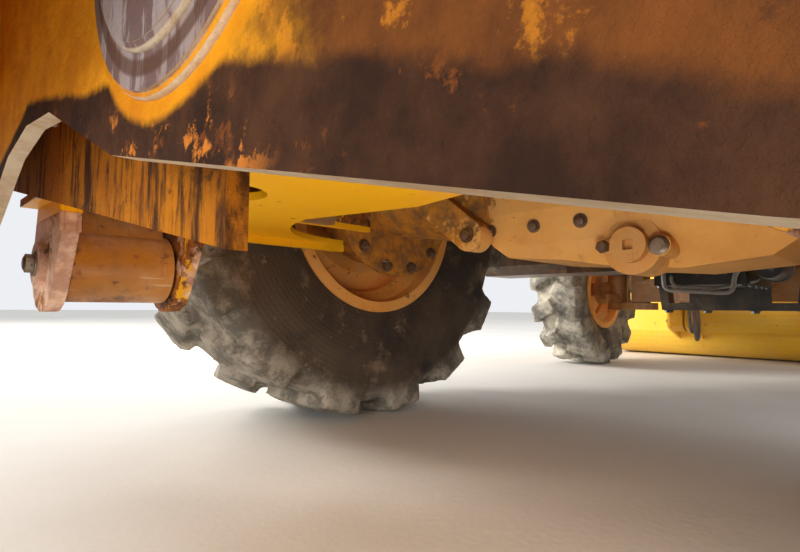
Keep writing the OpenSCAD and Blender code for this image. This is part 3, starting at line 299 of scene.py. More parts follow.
def arched_plate_tone(s, side, rough):
    """Brown rust along the plate's low edge, orange rust and paint above it, with painted highlights on the
    orange rust.
    """
    over_edge = s.z - ARCH_EDGE_Z + (side - ARCH_EDGE_Y) * ARCH_SLOPE
    reach = 0.045 - (side - 0.43).larger(0.0) * 0.12
    orange = s.mottled(11.0, rgb(126, 72, 28), rgb(88, 50, 24), 0.38, 0.64, detail=10.0)
    # Bright orange spots on the rust: painted highlights
    patches = s.noise(34.0, 8, 0.7, seed=(1, 0, 2)).above(0.545, 0.61) * 0.7
    orange = s.mix(patches, orange, rgb(204, 126, 32))
    pits = s.noise(60.0, 6, 0.7, seed=(6, 0, 2)).above(0.58, 0.64) * 0.5
    orange = s.mix(pits, orange, rgb(76, 46, 26))
    painted = (rough * 0.8 + (0.55 - side) * 2.2).above(0.44, 0.70)
    orange = s.mix(painted, orange, s.mottled(16.0, rgb(250, 172, 26), rgb(228, 144, 22)))
    brown = s.mottled(15.0, rgb(50, 30, 20), rgb(84, 52, 32), 0.38, 0.66, (5, 1, 1), 10.0)
    flecks = s.noise(46.0, 9, 0.72, seed=(7, 3, 0)).above(0.545, 0.60) * over_edge.below(0.006, 0.045)
    brown = s.mix(flecks * s.noise(5.0, 3, seed=(1, 1, 4)).above(0.44, 0.56), brown, rgb(214, 128, 46))
    blisters = s.noise(28.0, 8, 0.7, seed=(2, 9, 0)).above(0.60, 0.66) * 0.6
    brown = s.mix(blisters, brown, rgb(146, 80, 30))
    return s.mix((over_edge - reach + (rough - 0.5) * 0.035).above(-0.003, 0.006), brown, orange)


def with_disc(s, arched, side, rough):
    """The ringed disc on the arched plate, scraped grey, and the clean paint round it."""
    radius = s.distance(side - DISC_Y, s.z - DISC_Z)
    halo = (radius + (rough - 0.5) * 0.02).below(0.139, 0.146)
    ring = s.mix(halo, arched, s.mottled(20.0, rgb(240, 160, 20), rgb(218, 134, 16)))
    scraped = s.noise(30.0, 8, 0.7, stretch=(1, 1.6, 0.35), seed=(4, 4, 4)).above(0.47, 0.54)
    bare = s.mottled(9.0, rgb(168, 160, 162), rgb(160, 132, 118), seed=(3, 1, 0))
    disc = s.mix(scraped, rgb(120, 96, 92), bare)
    grooves = abs(radius - 0.116).below(0.003, 0.006).larger(abs(radius - 0.066).below(0.002, 0.005))
    disc = s.mix(grooves * 0.8, disc, rgb(96, 66, 50))
    return s.mix(radius.below(0.1275, 0.1295), ring, disc)


def front_plate_tone(s):
    """Paint that the wet has run down."""
    runs = s.noise(13.0, 9, 0.7, stretch=(1, 3, 0.42)) * 0.7
    runs = runs + s.noise(40.0, 7, 0.7, stretch=(1, 2, 0.5)) * 0.3
    paint = s.mottled(9.0, rgb(206, 128, 18), rgb(180, 104, 20))
    streaked = s.mix(runs.above(0.47, 0.60), paint, rgb(76, 44, 18))
    stains = s.noise(24.0, 8, 0.7, seed=(0, 9, 0)).above(0.57, 0.64) * 0.7
    return s.mix(stains, streaked, rgb(62, 42, 28))


def pivot_tone(s, ahead):
    """Rust on the ears and tubes of the stabilizers' pivots, with pale dust on the rear ears."""
    rust = s.mottled(24.0, rgb(76, 46, 28), rgb(164, 98, 40), 0.40, 0.60, (6, 6, 0), 10.0)
    rust = s.mix(s.noise(11.0, 10, 0.7, seed=(3, 0, 8)).above(0.56, 0.60), rust, CLEAN_YELLOW)
    ear = ahead.below(EAR_FRONT - 0.001, EAR_FRONT + 0.001)
    dusty = (s.noise(8.0, 9, 0.68, seed=(8, 8, 8)) + ear * 0.16).above(0.54, 0.62) * 0.9
    return s.mix(dusty, rust, s.mottled(30.0, rgb(246, 208, 180), rgb(200, 152, 128)))


def belly_tone(s):
    # The belly plate's clean yellow, brightened as painted bounce light from the floor
    belly = s.mottled(3.0, rgb(255, 188, 22), rgb(250, 166, 20), 0.4, 0.7)
    belly = s.mix(s.noise(38.0, 6, 0.66, seed=(1, 2, 3)).above(0.665, 0.69) * 0.9, belly, RUST_BROWN)
    return s.mix(s.noise(4.0, 6, 0.6, stretch=(1, 5, 1)).above(0.6, 0.72) * 0.3, belly, TAN)


def rear_frame_finish(name):
    """The plates round the camera, each with its own wear, with painted highlights on the arched plate and
    painted bounce light on the belly plate and on the edges that look down: masks by place tell them apart.
    """
    s = Shader(name)
    fine = s.noise(70.0, 8, 0.7)
    rough = s.noise(9.0, 9, 0.68, seed=(2, 5, 7))
    side = abs(s.y)
    ahead = s.x - AXLE_X
    ring = with_disc(s, arched_plate_tone(s, side, rough), side, rough)
    tone = s.mix(ahead.above(PLATE_SEAM - 0.001, PLATE_SEAM + 0.001), ring, front_plate_tone(s))
    pivots = ahead.above(FRAME_BACK + 0.0005, FRAME_BACK + 0.001) * s.z.below(PIVOT_TOP, PIVOT_TOP + 0.01)
    tone = s.mix(pivots, tone, pivot_tone(s, ahead))
    low, high = BELLY_Z
    under = ahead.above(FRAME_BACK, FRAME_BACK + 0.001) * s.z.above(low - 0.005, low)
    under = under * s.z.below(high, high + 0.001) * side.below(0.60, 0.61)
    tone = s.mix(under * (1 - side.above(0.585, 0.586)), tone, belly_tone(s))
    # Painted bounce light from the floor along the edges that look down, and dust on what looks up
    edge = s.up.below(-0.75, -0.5) * (1 - under) * ahead.below(FRAME_BACK + 0.0005, FRAME_BACK + 0.001)
    tone = s.mix(edge * (0.55 + rough * 0.6), tone, s.mottled(30.0, rgb(206, 176, 140), PALE_DUST))
    lying = s.up.above(0.3, 0.9) * 0.6 + s.noise(2.6, 7, 0.62).above(0.6, 0.85) * 0.06
    tone = s.mix(lying * (1 - under), tone, DUST)
    relief = fine * 0.5 + s.noise(26.0, 9, 0.7, seed=(5, 1, 1)) * (1 - under * 0.8) * 1.4
    return s.finish(tone, 0.72 - under * 0.30, relief, 0.0035, Specular_IOR_Level=0.14)


def casting_finish(name):
    """Axle housing: cast skin under tan dust, with paint and rust showing at its corners."""
    s = Shader(name)
    tone = s.mottled(2.4, TAN, TAN_SHADE, 0.42, 0.8)
    tone = s.mix(s.noise(6.5, 9, 0.66, seed=(2, 0, 1)).above(0.5, 0.7) * 0.5, tone, rgb(226, 180, 122))
    ahead = s.x - AXLE_X
    old = s.noise(8.0, 10, 0.7, seed=(9, 0, 4)) + (s.y - 0.02) * 0.9
    bare = old.above(0.56, 0.60) * s.z.below(0.60, 0.72)
    tone = s.mix(bare * 0.8, tone, s.mottled(22.0, DEEP_YELLOW, RUST_BROWN))
    filler = s.distance(s.y - FILLER[0], s.z - FILLER[1])
    oily = (filler + s.noise(12.0, 6) * 0.05).below(0.07, 0.11) * ahead.below(-0.16, -0.14)
    tone = s.mix(oily * 0.3, tone, rgb(150, 98, 52))
    drip = s.noise(10.0, 5, 0.6, stretch=(3, 3, 0.4)).above(0.6, 0.72)
    tone = s.mix(drip * 0.35, tone, rgb(132, 84, 44))
    relief = s.noise(85.0, 6, 0.65) * 0.7 + s.noise(14.0, 5) * 0.9
    return s.finish(tone, 0.84 - oily * 0.25, relief, 0.0022, Specular_IOR_Level=0.35)


def rim_finish(name):
    """Rims: tan dust over yellow, with broad darker patches and spots of rust."""
    s = Shader(name)
    tone = s.mottled(3.5, rgb(248, 176, 88), rgb(232, 150, 56), 0.35, 0.7)
    tone = s.mix(s.noise(9.0, 8, 0.68).above(0.52, 0.68) * 0.55, tone, rgb(222, 176, 116))
    tone = s.mix(s.noise(26.0, 8, 0.7, seed=(2, 2, 2)).above(0.62, 0.66), tone, RUST_BROWN)
    tone = s.mix(s.noise(3.0, 5, 0.5, seed=(0, 4, 9)).above(0.6, 0.75) * 0.4, tone, rgb(112, 72, 40))
    return s.finish(tone, 0.72, s.noise(60.0, 7, 0.66), 0.0014)


def rubber_finish(name, wall, wall_dust, lug, lug_dust, hub, share):
    """Tyre rubber: stained walls, dusty lugs and tread, scuffs round the walls and fine cracks. Its hub is
    given as (x from the rear axle, z, radius of the carcass)."""
    s = Shader(name)
    radius = s.distance(s.x - (AXLE_X + hub[0]), s.z - hub[1])
    wear = s.noise(7.0, 9, 0.68, seed=(3, 0, 5))
    side = s.mix(wear.above(0.62 - share, 0.76 - share), s.mottled(4.0, wall, SOOT, 0.4, 0.75), wall_dust)
    scuffs = s.noise(20.0, 9, 0.75, stretch=(1, 5, 1)).above(0.60, 0.68)
    side = s.mix(scuffs * 0.45, side, rgb(178, 158, 130))
    wet = s.noise(2.4, 7, 0.6, seed=(0, 7, 1)).above(0.56, 0.64)
    side = s.mix(wet * 0.65, side, rgb(34, 30, 27))
    tread = s.mix(s.noise(11.0, 9, 0.7, seed=(5, 5, 1)).above(0.40, 0.60), lug, lug_dust)
    tread = s.mix(s.noise(26.0, 8, 0.7, seed=(0, 3, 3)).above(0.62, 0.68) * 0.7, tread, SOOT)
    out = (radius + (wear - 0.5) * 0.06).above(hub[2] - 0.05, hub[2] + 0.02)
    tone = s.mix(out, side, tread)
    cracks = s.cells(85.0, "DISTANCE_TO_EDGE", (1, 2, 1)).below(0.02, 0.09)
    circles = (radius * 420.0).sine() * (1 - out) * 0.12
    relief = s.noise(48.0, 9, 0.72) * 0.8 - scuffs * 0.5 - cracks * 0.25 + circles
    return s.finish(tone, 0.84 - wet * 0.25, relief, 0.0028)


def dark_finish(name, base, light, dust, shine=0.36):
    """Black and grey paint, plastic or oily metal, with dust where it can lie."""
    s = Shader(name)
    tone = s.mottled(6.0, base, light)
    lying = (s.noise(4.0, 8, 0.65).above(0.46, 0.7) * 0.6 + s.up.above(0.1, 0.9) * 0.55) * dust
    tone = s.mix(lying, tone, s.mottled(30.0, rgb(128, 104, 76), rgb(168, 144, 112)))
    chips = s.noise(40.0, 5, 0.6, seed=(1, 6, 2)).above(0.70, 0.72)
    tone = s.mix(chips * 0.5, tone, RUST_BROWN)
    return s.finish(tone, shine + lying * 0.42, s.noise(60.0, 6) * 0.6 - chips * 0.4, 0.001)


def grained_finish(name):
    """Seat cover: grained vinyl, worn paler over its crown."""
    s = Shader(name)
    tone = s.mottled(5.0, rgb(34, 34, 35), rgb(52, 50, 48))
    grain = s.cells(420.0, "DISTANCE_TO_EDGE")
    worn = s.noise(7.0, 6, 0.6).above(0.5, 0.7) * s.up.above(0.5, 0.95)
    tone = s.mix(worn * 0.4, tone, rgb(104, 96, 86))
    return s.finish(tone, 0.52 + worn * 0.15, grain.above(0.0, 0.12), 0.0005)


def chrome_finish(name):
    s = Shader(name)
    film = s.noise(9.0, 6, 0.6, stretch=(1, 1, 0.3)).above(0.5, 0.72)
    tone = s.mix(film * 0.5, rgb(214, 214, 214), rgb(160, 138, 108))
    scratches = s.noise(90.0, 3, 0.5, stretch=(6, 6, 0.4)) * 0.2
    return s.finish(tone, 0.12 + film * 0.3, scratches, 0.0004, metallic=1.0 - film * 0.5)


def steel_finish(name, base, stain):
    """Bare and heat-stained steel of bolts, pipes and the exhaust."""
    s = Shader(name)
    tone = s.mottled(18.0, base, stain, 0.40, 0.62)
    spots = s.noise(60.0, 6, 0.66, seed=(4, 2, 0)).above(0.60, 0.65)
    tone = s.mix(spots * 0.8, tone, RUST_BROWN)
    return s.finish(tone, 0.42 + spots * 0.4, s.noise(110.0, 5) * 0.6 + spots * 0.5, 0.0008,
                    metallic=0.85 - spots * 0.7)


def glass_finish(name, clear, dirt, alpha):
    """Glazing with wiped arcs left clearer, and dust towards its edges."""
    s = Shader(name)
    smear = s.noise(4.0, 7, 0.65).above(0.45, 0.75)
    specks = s.noise(120.0, 3, 0.5, seed=(1, 1, 1)).above(0.66, 0.72)
    tone = s.mix(smear * 0.4, clear, dirt)
    tone = s.mix(specks * 0.6, tone, PALE_DUST)
    s.feed(s.principled.inputs["Alpha"], alpha + smear * 0.12 + specks * 0.25)
    return s.finish(tone, 0.04 + smear * 0.22 + specks * 0.3, IOR=1.5)


def lens_finish(name, tint, painted_rib_highlight):
    """Moulded lens, ribbed on its inside, with a painted highlight along the ribs."""
    s = Shader(name)
    ribs = ((s.z * 900.0).sine() + (s.y * 900.0).sine()) * 0.5
    dusty = s.noise(14.0, 6, 0.62).above(0.5, 0.72)
    tone = s.mix(dusty * 0.35, tint, PALE_DUST)
    # A brighter tone along the ribs: painted highlight
    tone = s.mix(ribs.above(0.1, 0.8) * 0.25, tone, painted_rib_highlight)
    return s.finish(tone, 0.10 + dusty * 0.35, ribs, 0.0008, Coat_Weight=0.5, IOR=1.49)


def hose_finish(name, base, light):
    """Hose cover: the wrap's fine pattern under dust."""
    s = Shader(name)
    weave = ((s.x * 1500.0 + s.z * 700.0).sine() * (s.y * 1500.0 - s.z * 700.0).sine())
    dusty = s.noise(11.0, 7, 0.66).above(0.42, 0.66)
    tone = s.mix(dusty * 0.7, base, light)
    return s.finish(tone, 0.62 + dusty * 0.25, weave, 0.0004)


def floor_finish(name):
    """Pale concrete, faintly clouded."""
    s = Shader(name)
    tone = s.mottled(0.9, rgb(214, 211, 204), rgb(224, 221, 214), 0.3, 0.7)
    return s.finish(tone, 0.9, s.noise(60.0, 4), 0.0006)


YELLOW = worn_paint("loader_yellow", CLEAN_YELLOW, DEEP_YELLOW, 0.5, 0.4, 0.66, 0.25)
CAB_YELLOW = worn_paint("cab_yellow", CLEAN_YELLOW, rgb(228, 156, 28), 0.25, 0.25, 0.72, 0.1)
# The bucket's paint starts from the brightened yellow, so sunlight is painted into its colour
BUCKET_YELLOW_PAINTED_SUN = worn_paint("bucket_yellow", PAINTED_SUNLIGHT_YELLOW, CLEAN_YELLOW, 0.45, 0.3, 0.67, 0.1)
UNDER = worn_paint("underframe_paint", rgb(156, 100, 42), rgb(98, 62, 34), 0.6, 0.35, 0.54, 0.8)
TANKS = worn_paint("tank_paint", rgb(92, 60, 36), rgb(52, 36, 24), 0.4, 0.15, 0.54, 0.9)
REAR_FRAME = rear_frame_finish("rear_frame_paint")
LEGS = worn_paint("stabilizer_paint", DEEP_YELLOW, RUST_BROWN, 1.0, 0.6, 0.50, 0.7)
CASTING = casting_finish("axle_casting")
RIM = rim_finish("dusty_rim")
REAR_RUBBER = rubber_finish("rear_tyre_rubber", rgb(82, 66, 50), rgb(128, 106, 82), rgb(96, 88, 76),
                            rgb(162, 150, 132), (0.0, HUB_Z, 0.63), 0.10)
FRONT_RUBBER = rubber_finish("front_tyre_rubber", rgb(118, 108, 92), rgb(162, 148, 124), rgb(112, 108, 100),
                             rgb(190, 182, 164), (FRONT_HUB[0], FRONT_HUB[1], 0.43), 0.16)
BLACK = dark_finish("oily_black", rgb(22, 20, 19), rgb(44, 37, 31), 0.35)
CYLINDER = dark_finish("cylinder_black", rgb(28, 27, 27), rgb(44, 42, 41), 0.35, 0.3)
TRIM = dark_finish("cab_plastic", rgb(30, 30, 31), rgb(46, 45, 44), 0.15, 0.46)
SEAL = dark_finish("window_rubber", rgb(20, 20, 20), rgb(34, 33, 32), 0.25, 0.6)
VINYL = grained_finish("seat_vinyl_grain")
CHROME = chrome_finish("cylinder_chrome")
STEEL = steel_finish("fastener_steel", rgb(156, 146, 132), rgb(120, 98, 78))
EXHAUST = steel_finish("heat_stained_steel", rgb(126, 112, 100), rgb(94, 66, 48))
PIPE = dark_finish("grey_pipe", rgb(118, 112, 104), rgb(152, 142, 130), 0.3, 0.5)
HOSE = hose_finish("hose_cover", rgb(34, 33, 33), rgb(112, 100, 84))
GREY_HOSE = hose_finish("grey_hose_cover", rgb(116, 112, 106), rgb(160, 150, 136))
GLASS = glass_finish("cab_window", rgb(206, 222, 220), rgb(196, 182, 156), 0.26)
MIRROR = steel_finish("mirror_silver", rgb(226, 228, 230), rgb(208, 210, 212))
CLEAR_LENS = lens_finish("clear_lens", rgb(214, 216, 214), rgb(250, 250, 244))
AMBER_LENS = lens_finish("amber_lens", rgb(236, 122, 14), rgb(255, 176, 60))
RED_LENS = lens_finish("red_lens", rgb(176, 22, 18), rgb(232, 70, 54))

NODE_FINISH = {
    "main_frame": UNDER, "rear_frame": REAR_FRAME, "rear_axle": CASTING, "front_axle": UNDER,
    "powertrain": BLACK, "hood": YELLOW, "grille": TRIM, "exhaust": EXHAUST, "side_tanks": TANKS,
    "fenders": YELLOW, "cab_frame": CAB_YELLOW, "cab_roof": CAB_YELLOW, "cab_glass": GLASS, "seat": VINYL,
    "controls": TRIM, "lamps": TRIM, "mirrors": TRIM, "swing_post": LEGS, "loader_bucket": BUCKET_YELLOW_PAINTED_SUN,
    "door_left": CAB_YELLOW, "door_right": CAB_YELLOW, "tilt_links": UNDER,
}
NAME_FINISH = [
    ("tyre_rear", REAR_RUBBER), ("tyre_front", FRONT_RUBBER), ("rim", RIM), ("glass", GLASS),
    ("barrel", CYLINDER), ("rod", CHROME), ("leg", LEGS), ("knuckle", UNDER), ("", YELLOW),
]


def node_finish(name):
    return NODE_FINISH.get(name) or next(finish for part, finish in NAME_FINISH if part in name)


for node_name, node in NODES.items():
    node.data.materials.clear()
    node.data.materials.append(node_finish(node_name))


# Mesh tools

def ring_points(middle, radius, across, third, sides):
    return [middle + radius * (math.cos(a) * across + math.sin(a) * third)
            for a in (math.tau * k / sides for k in range(sides))]


def ring_walls(near, far, sides):
    return [(near + k, near + (k + 1) % sides, far + (k + 1) % sides, far + k) for k in range(sides)]


class Form:
    """The points and faces of one piece, gathered before they become its mesh."""

    def __init__(self):
        self.points = []
        self.faces = []

    def add(self, points, faces):
        first = len(self.points)
        self.points += [Vector(p) for p in points]
        self.faces += [tuple(first + i for i in face) for face in faces]
        return self

    def block(self, centre, size, edge=0.004, turn=None):
        """A block with rounded edges."""
        solid = bmesh.new()
        bmesh.ops.create_cube(solid, size=1.0)
        bmesh.ops.scale(solid, vec=size, verts=solid.verts)
        bmesh.ops.bevel(solid, geom=solid.edges[:], offset=edge, segments=2, profile=0.7, affect="EDGES")
        place = Matrix.Translation(centre) @ (turn or Matrix.Identity(4))
        self.add([place @ v.co for v in solid.verts], [[v.index for v in f.verts] for f in solid.faces])
        solid.free()
        return self

    def tube(self, path, radius, sides=10, closed=False):
        """A round bar along a path of points."""
        path = [Vector(p) for p in path]
        count = len(path)
        across = None
        rings = []
        for i, here in enumerate(path):
            before = path[(i - 1) % count] if closed or i else here
            after = path[(i + 1) % count] if closed or i < count - 1 else here
            along = (after - before).normalized()
            if across is None:
                across = along.orthogonal().normalized()
            across = (across - along * across.dot(along)).normalized()
            third = along.cross(across)
            rings.append(ring_points(here, radius, across, third, sides))
        faces = []
        for i in range(count if closed else count - 1):
            faces += ring_walls(i * sides, (i + 1) % count * sides, sides)
        if not closed:
            faces += [tuple(range(sides - 1, -1, -1)), tuple(range((count - 1) * sides, count * sides))]
        return self.add([p for ring in rings for p in ring], faces)

    def lathe(self, profile, foot, axis, sides=32):
        """A turned shape: (radius, height) pairs from its foot along its axis."""
        axis = Vector(axis).normalized()
        across = axis.orthogonal().normalized()
        third = axis.cross(across)
        points = []
        for radius, height in profile:
            points += ring_points(Vector(foot) + axis * height, radius, across, third, sides)
        faces = []
        for i in range(len(profile) - 1):
            faces += ring_walls(i * sides, (i + 1) * sides, sides)
        last = (len(profile) - 1) * sides
        faces += [tuple(range(sides - 1, -1, -1)), tuple(range(last, last + sides))]
        return self.add(points, faces)

    def bar(self, corners, bend, radius, sides=10):
        """A round bar bent at its corners."""
        return self.tube(rounded(corners, bend), radius, sides)

    def piece(self, name, body, finish, slot, angle=32, replaced=()):
        """The finished object, riding on its body, with its finish. Its slot is not used."""
        mesh = bpy.data.meshes.new(name)
        solid = bmesh.new()
        made = [solid.verts.new(p) for p in self.points]
        for face in self.faces:
            if len(set(face)) > 2:
                solid.faces.new([made[i] for i in face])
        bmesh.ops.remove_doubles(solid, verts=solid.verts, dist=1e-6)
        bmesh.ops.recalc_face_normals(solid, faces=solid.faces)
        solid.to_mesh(mesh)
        solid.free()
        return dressed(name, mesh, body, finish, angle, replaced)


def dressed(name, mesh, body, finish, angle=32, replaced=()):
    """An object of that mesh, smooth up to an angle, with its finish, riding on its body."""
    mesh.polygons.foreach_set("use_smooth", [True] * len(mesh.polygons))
    mesh.set_sharp_from_angle(angle=math.radians(angle))
    mesh.materials.clear()
    mesh.materials.append(finish)
    piece = bpy.data.objects.new(name, mesh)
    bpy.context.scene.collection.objects.link(piece)
    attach(piece, body)
    if replaced:
        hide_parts(*replaced)
    return piece


def smooth_path(points, step=0.02):
    """A curve through the points, sampled about every step."""
    points = [Vector(p) for p in points]
    ends = [2 * points[0] - points[1]] + points + [2 * points[-1] - points[-2]]
    path = [points[0]]
    for a, b, c, d in zip(ends, ends[1:], ends[2:], ends[3:]):
        count = max(2, round((c - b).length / step))
        for i in range(1, count + 1):
            t = i / count
            path.append(0.5 * (2 * b + (c - a) * t + (2 * a - 5 * b + 4 * c - d) * t * t
                               + (3 * b - a - 3 * c + d) * t ** 3))
    return path


def bend_points(before, here, after, radius, steps):
    """The points of a bend of that radius from one straight to the next."""
    start = here + (before - here).normalized() * radius
    end = here + (after - here).normalized() * radius
    return [(1 - t) ** 2 * start + 2 * t * (1 - t) * here + t * t * end
            for t in (i / steps for i in range(steps + 1))]


def rounded(corners, radius, steps=4):
    """A path through corners, each turned with a bend of that radius."""
    corners = [Vector(c) for c in corners]
    path = [corners[0]]
    for before, here, after in zip(corners, corners[1:], corners[2:]):
        path += bend_points(before, here, after, radius, steps)
    return path + [corners[-1]]


def length_of(path):
    return sum((b - a).length for a, b in zip(path, path[1:]))


# Geometry trees

class Growth(Graph):
    """A geometry tree with named inputs, and the plain mesh that it grows from points."""

    def __init__(self, name, inputs):
        tree = bpy.data.node_groups.new(name, "GeometryNodeTree")
        super().__init__(tree)
        kinds = {"Points": "NodeSocketGeometry", "Finish": "NodeSocketMaterial"}
        self.sockets = {}
        for label in ["Points", "Finish"] + inputs:
            kind = kinds.get(label, "NodeSocketFloat")
            made = tree.interface.new_socket(label, in_out="INPUT", socket_type=kind)
            self.sockets[label] = made.identifier
        tree.interface.new_socket("Result", in_out="OUTPUT", socket_type="NodeSocketGeometry")
        self.entry = tree.nodes.new("NodeGroupInput")
        self.exit = tree.nodes.new("NodeGroupOutput")

    def given(self, label):
        return Value(self, self.entry.outputs[label])

    def end(self, geometry):
        real = self.node("GeometryNodeRealizeInstances", {}, geometry)
        self.feed(self.exit.inputs["Result"], self.node("GeometryNodeSetMaterial", {}, Geometry=real,
                                                       Material=self.given("Finish")))
        return self

    def grow(self, name, points, edges, attributes, finish, **sizes):
        mesh = bpy.data.meshes.new(name + "_points")
        mesh.from_pydata(points, edges, [])
        for label, (kind, values) in attributes.items():
            layer = mesh.attributes.new(label, kind, "POINT")
            flat = [number for value in values for number in (value if kind == "FLOAT_VECTOR" else (value,))]
            layer.data.foreach_set("vector" if kind == "FLOAT_VECTOR" else "value", flat)
        carrier = bpy.data.objects.new(name + "_points", mesh)
        bpy.context.scene.collection.objects.link(carrier)
        modifier = carrier.modifiers.new("growth", "NODES")
        modifier.node_group = self.tree
        modifier[self.sockets["Finish"]] = finish
        for label, value in sizes.items():
            modifier[self.sockets[label.replace("_", " ")]] = value
        depsgraph = bpy.context.evaluated_depsgraph_get()
        grown = bpy.data.meshes.new_from_object(carrier.evaluated_get(depsgraph), depsgraph=depsgraph)
        bpy.data.objects.remove(carrier)
        for label in list(attributes):
            if label in grown.attributes:
                grown.attributes.remove(grown.attributes[label])
        return grown


def fastener_tree():
    """A hexagon head with a chamfered crown on a washer, on each point, along its axis and at its size."""
    g = Growth("hexagon_fasteners", ["Head Height", "Washer Width", "Thread Length"])
    height = g.given("Head Height")

    def raised(shape, lift):
        return g.node("GeometryNodeTransform", {}, Geometry=shape,
                      Translation=g.node("ShaderNodeCombineXYZ", {}, 0.0, 0.0, lift))

    def disc(sides, radius, depth):
        return g.node("GeometryNodeMeshCylinder", {"fill_type": "NGON"}, Vertices=sides, Radius=radius,
                      Depth=depth)

    washer_depth = 0.2
    head = raised(disc(6, 1.0, height), height * 0.5 + washer_depth)
    crown = g.node("GeometryNodeMeshCone", {"fill_type": "NGON"}, Vertices=12, Radius_Top=0.62,
                   Radius_Bottom=0.9, Depth=0.16)
    crown = raised(crown, height + washer_depth)
    washer = raised(disc(18, g.given("Washer Width"), washer_depth), washer_depth * 0.5)
    thread = raised(disc(12, 0.5, g.given("Thread Length")), height + washer_depth)
    shape = g.node("GeometryNodeJoinGeometry", {}, [thread, washer, crown, head])
    axis = g.node("GeometryNodeInputNamedAttribute", {"data_type": "FLOAT_VECTOR"}, Name="axis")
    size = g.node("GeometryNodeInputNamedAttribute", {"data_type": "FLOAT"}, Name="size")
    turn = g.node("FunctionNodeAlignRotationToVector", {"axis": "Z"}, Vector=axis)
    placed = g.node("GeometryNodeInstanceOnPoints", {}, Points=g.given("Points"), Instance=shape,
                    Rotation=turn, Scale=g.node("ShaderNodeCombineXYZ", {}, size, size, size))
    return g.end(placed)


def weld_tree():
    """A welded seam: a bead along the edges whose width and height ripple."""
    g = Growth("weld_bead", ["Bead Radius", "Ripple Step"])
    line = g.node("GeometryNodeMeshToCurve", {}, Mesh=g.given("Points"))
    line = g.node("GeometryNodeResampleCurve", {"mode": "LENGTH"}, Curve=line, Length=g.given("Ripple Step"))
    index = g.node("GeometryNodeInputIndex", {})
    wave = (index * 1.9).sine() * 0.16 + (index * 0.37).sine() * 0.10 + 1.0
    line = g.node("GeometryNodeSetCurveRadius", {}, Curve=line, Radius=wave)
    ring = g.node("GeometryNodeCurvePrimitiveCircle", {"mode": "RADIUS"}, Resolution=7,
                  Radius=g.given("Bead Radius"))
    bead = g.node("GeometryNodeCurveToMesh", {}, Curve=line, Profile_Curve=ring, Fill_Caps=True)
    return g.end(bead)


FASTENERS = fastener_tree()
WELDS = weld_tree()


def fasteners(name, body, spots, finish=STEEL, height=0.72, washer=1.35, thread=0.0):
    """Hexagon heads at (point, axis, half width) spots."""
    points, axes, sizes = zip(*[(Vector(p), Vector(a).normalized(), s) for p, a, s in spots])
    layers = {"axis": ("FLOAT_VECTOR", axes), "size": ("FLOAT", sizes)}
    mesh = FASTENERS.grow(name, points, [], layers, finish, Head_Height=height, Washer_Width=washer,
                          Thread_Length=thread)
    return dressed(name, mesh, body, finish)


def weld_seams(name, body, paths, finish, radius=0.005):
    """Beads along paths of points."""
    points = []
    edges = []
    for path in paths:
        first = len(points)
        points += [Vector(p) for p in path]
        edges += [(i, i + 1) for i in range(first, len(points) - 1)]
    mesh = WELDS.grow(name, points, edges, {}, finish, Bead_Radius=radius, Ripple_Step=0.005)
    return dressed(name, mesh, body, finish, angle=80)


def circle_spots(centre, axis, radius, count, size, first=0.0):
    """Fasteners evenly round a hub whose axis lies along Y."""
    return [(Vector(centre) + Vector((radius * math.cos(a), 0, radius * math.sin(a))), axis, size)
            for a in (first + math.tau * i / count for i in range(count))]


# Wheels and axles

# Each axle's tyres: their rubber, and the step of the grid that they are worn on
WORN_TYRES = {"rear": (REAR_RUBBER, 0.0105), "front": (FRONT_RUBBER, 0.0085)}


def worn_copy(node, grid):
    """A node's mesh on a grid of that step, with its edges rounded."""
    solid = bmesh.new()
    solid.from_mesh(NODES[node].data)
    bmesh.ops.remove_doubles(solid, verts=solid.verts, dist=1e-5)
    mesh = bpy.data.meshes.new(node)
    solid.to_mesh(mesh)
    solid.free()
    form = bpy.data.objects.new(node, mesh)
    bpy.context.scene.collection.objects.link(form)
    remesh = form.modifiers.new("grid", "REMESH")
    remesh.mode = "VOXEL"
    remesh.voxel_size = grid
    wear = form.modifiers.new("wear", "SMOOTH")
    wear.factor = 0.5
    wear.iterations = 5
    worn = bpy.data.meshes.new_from_object(form.evaluated_get(bpy.context.evaluated_depsgraph_get()))
    bpy.data.objects.remove(form)
    return worn


def make_worn_tyres():
    """Each tyre again, from its solid: the lugs' edges worn round, blended into the walls and scuffed."""
    for end, (finish, grid) in WORN_TYRES.items():
        for _, word in NAMED_SIDES:
            node = "tyre_%s_%s" % (end, word)
            worn = worn_copy(node, grid)
            normals = [vert.normal.copy() for vert in worn.vertices]
            for vert, normal in zip(worn.vertices, normals):
                dents = noise.noise(vert.co * 9.0) * 0.003 + noise.noise(vert.co * 31.0) * 0.0014
                vert.co -= normal * (0.001 + max(0.0, dents))
            dressed("worn_" + node, worn, "wheel_%s_%s" % (end, word), finish, 70, (node,))


# Profile of a rear hub cap: (radius, height)
HUB_CAP = [(0.070, 0), (0.070, 0.012), (0.060, 0.016), (0.057, 0.075), (0.050, 0.088), (0.030, 0.096),
           (0.010, 0.098)]


